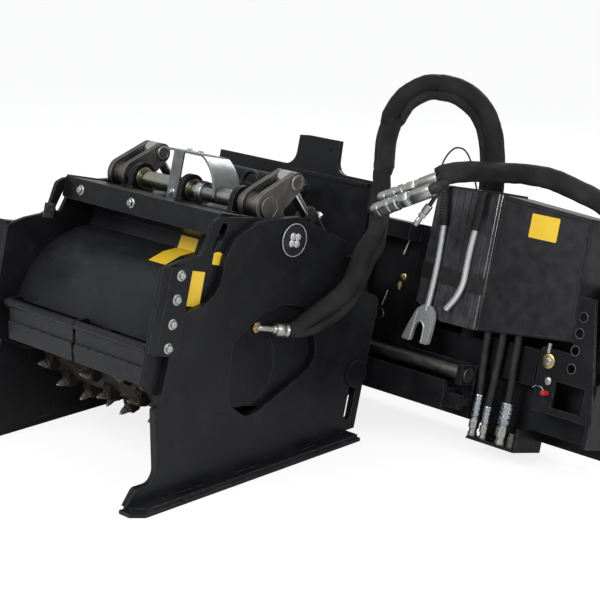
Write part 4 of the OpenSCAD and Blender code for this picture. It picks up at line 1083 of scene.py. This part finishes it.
strap = piece("tool_strap", bm, "mount_frame", rubber, bevel=0.8)
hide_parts("box_strap")
print("wrench, bar and strap")

# %% [markdown]
# ## Oil fittings in the tray
# Three hoses come down from the valve block. Each ends in a crimped shell with
# pressed rings, a nickel nut and an adapter. They are turned, like the couplers,
# with the hexagon as a separate ring of six sides.

# %% Fittings and hoses in the tray
fitting_v, tray_floor = 82, 71.0
bm, nuts = bmesh.new(), bmesh.new()
for x, r, top in ((362, 14, 190), (400, 13, 165), (462, 18, 190)):
    foot, height = leaned(x, fitting_v, tray_floor), top - tray_floor
    adapter = [(0, 0.95), (0.1, 0.95), (0.11, 0.8), (0.2, 0.8)]
    nut = [(0.2, 1.0), (0.22, 1.08), (0.4, 1.08), (0.42, 0.95)]
    neck = [(0.42, 0.8), (0.5, 0.8)]
    for shares, sides in ((adapter, 28), (nut, 6), (neck, 28)):
        turned(nuts, foot, up, [(height * at, r * wide) for at, wide in shares], sides=sides)
    shell = [(height * 0.48, r * 0.85), (height * 0.5, r)]
    for k in range(4):
        at = height * (0.53 + 0.11 * k)
        shell += [(at, r), (at + height * 0.05, r), (at + height * 0.06, r * 0.9),
                  (at + height * 0.09, r * 0.9)]
    turned(bm, foot, up, shell + [(height * 0.97, r), (height, r * 0.9)])
blue_zinc = plated("blue_zinc", (0.36, 0.4, 0.46), (0.47, 0.5, 0.54), rough=(0.22, 0.36), scale=50)
shells = piece("crimped_shells", bm, "mount_frame", blue_zinc)
swivel_nuts = piece("swivel_nuts", nuts, "mount_frame", forged, bevel=0.5)
bm = bmesh.new()
turned(bm, leaned(497, fitting_v, tray_floor), up, [(0, 13), (30, 13), (31, 11), (40, 11), (42, 9)])
filter_can = piece("tray_can", bm, "mount_frame", dull_steel)
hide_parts("valve_fittings")
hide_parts("valve_fittings")
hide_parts("valve_fittings")
bm = bmesh.new()
supply_routes = (((362, 180), (358, 230), (352, 290), (350, 364)),
                 ((400, 156), (401, 230), (402, 300), (402, 370)),
                 ((462, 180), (460, 240), (456, 300), (454, 376)))
for route in supply_routes:
    swept(bm, leaned_route([(x, fitting_v, w) for x, w in route]), 11, 20)
supply = piece("supply_lines", bm, "mount_frame", hose_rubber)
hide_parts("supply_hoses")
print("tray filled")

# %% [markdown]
# ## Hardware on the end bracket
# The bracket carries a brass washer with its bolt, a smaller bolt and a red cap
# with a thin lever. Round each of its four holes lies a flat ring, a hair proud of
# the plate, lighter than the plate and lighter still at its edges.

# %% Bracket hardware
bm = bmesh.new()
turned(bm, leaned(577, 65, 332), -back, [(-1, 20), (2.5, 20), (3.2, 19), (3.2, 11)], sides=40)
washer = piece("brass_washer", bm, "mount_frame", brass)
bm = bmesh.new()
hex_bolt(bm, leaned(577, 62, 332), -back, 10.5, 6, flange=1.1)
hex_bolt(bm, leaned(587, 65, 280), -back, 9, 6, flange=1.2)
turned(bm, leaned(573, 62, 380), -up, [(0, 4), (2, 6), (26, 6), (28, 4)])
bracket_bolts = piece("bracket_bolts", bm, "mount_frame", zinc)
red = paint("red_cap", (0.42, 0.02, 0.018), worn=(0.5, 0.3, 0.3), rough=(0.25, 0.35), dust=0.1)
bm = bmesh.new()
turned(bm, leaned(591, 65, 248), -back, [(-1, 6.5), (12, 7), (20, 7), (23, 5.5), (24, 2)])
red_cap = piece("red_cap", bm, "mount_frame", red)
bm = bmesh.new()
lever_line = ((590, 52, 253), (578, 50, 262), (560, 52, 262), (549, 56, 254))
swept(bm, leaned_route(lever_line, 6), 1.6, 8)
lever = piece("cap_lever", bm, "mount_frame", chrome)
for obj in (washer, bracket_bolts, red_cap, lever):
    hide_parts("bracket_hardware")
# Each hole gets a flat ring, lighter than the plate.
lighter_rim_paint = paint("lighter_rim", (0.05, 0.05, 0.05), worn=(0.3, 0.3, 0.3), rough=(0.3, 0.4), dust=0.1)
bm = bmesh.new()
hole_rim = [(-0.2, 14.5), (0.6, 14.5), (0.9, 14), (0.9, 12.2), (-0.2, 12.2)]
for x, w in ((658, 468), (656, 424), (653, 377), (652, 328)):
    turned(bm, leaned(x, 65.2, w), -back, hole_rim, sides=36, closed=True)
piece("hole_rims", bm, "mount_frame", lighter_rim_paint)
print("bracket dressed")

# %% [markdown]
# ## Stage and light
# The photograph is a studio cut-out: pale all round, with soft light from above
# and in front. A wide floor carries the soft shadow. Only rays that go straight
# from the camera see the floor and the world as white. All others meet a calmer
# light, so the black paint keeps its depth.

# %% Floor and world
bm = bmesh.new()
bmesh.ops.create_circle(bm, cap_ends=True, radius=60, segments=64)
mesh = bpy.data.meshes.new("studio_floor")
bm.to_mesh(mesh)
bm.free()
floor = bpy.data.objects.new("studio_floor", mesh)
bpy.context.scene.collection.objects.link(floor)


def seen_directly(tree):
    return tree.nodes.new("ShaderNodeLightPath").outputs["Is Camera Ray"]


floor_material = bpy.data.materials.new("pale_floor")
floor_material.use_nodes = True
tree = floor_material.node_tree
plain = tree.nodes["Principled BSDF"]
plain.inputs["Base Color"].default_value = (0.82, 0.82, 0.82, 1)
plain.inputs["Roughness"].default_value = 0.9
plain.inputs["Specular IOR Level"].default_value = 0.0
glow = tree.nodes.new("ShaderNodeEmission")
glow.inputs["Color"].default_value = (1, 1, 1, 1)
glow.inputs["Strength"].default_value = 1.16
mix = tree.nodes.new("ShaderNodeMixShader")
keep = tree.nodes.new("ShaderNodeMath")
keep.operation = "MULTIPLY"
keep.inputs[1].default_value = 0.72
tree.links.new(seen_directly(tree), keep.inputs[0])
tree.links.new(keep.outputs[0], mix.inputs[0])
tree.links.new(plain.outputs[0], mix.inputs[1])
tree.links.new(glow.outputs[0], mix.inputs[2])
tree.links.new(mix.outputs[0], tree.nodes["Material Output"].inputs["Surface"])
mesh.materials.append(floor_material)

world = bpy.data.worlds.new("studio_world")
bpy.context.scene.world = world
world.use_nodes = True
tree = world.node_tree
soft = tree.nodes["Background"]
soft.inputs["Color"].default_value = (0.95, 0.97, 1, 1)
soft.inputs["Strength"].default_value = 0.55
white = tree.nodes.new("ShaderNodeBackground")
white.inputs["Color"].default_value = (1, 1, 1, 1)
mix = tree.nodes.new("ShaderNodeMixShader")
tree.links.new(seen_directly(tree), mix.inputs[0])
tree.links.new(soft.outputs[0], mix.inputs[1])
tree.links.new(white.outputs[0], mix.inputs[2])
tree.links.new(mix.outputs[0], tree.nodes["World Output"].inputs["Surface"])
bpy.context.scene.view_settings.view_transform = "Standard"
print("floor and world ready")

# %% [markdown]
# Three soft boxes shape the black plates: a large key light in front, a smaller
# one from the right for the edges, and one behind for the upper surfaces.

# %% Soft boxes
def soft_box(name, place, target, size, power):
    light = bpy.data.lights.new(name, "AREA")
    light.shape = "RECTANGLE"
    light.size, light.size_y = size
    light.energy = power
    obj = bpy.data.objects.new(name, light)
    bpy.context.scene.collection.objects.link(obj)
    obj.location = place
    obj.rotation_euler = (Vector(target) - Vector(place)).to_track_quat("-Z", "Y").to_euler()


soft_box("key_box", (-0.6, -3.2, 3.4), (0, 0, 0.4), (2.4, 1.6), 105)
soft_box("side_box", (3.6, 0.2, 2.2), (0.2, 0, 0.4), (1.6, 1.6), 50)
soft_box("rear_box", (-1.6, 3.2, 2.8), (0, 0, 0.5), (2.4, 1.2), 60)
print("three soft boxes")
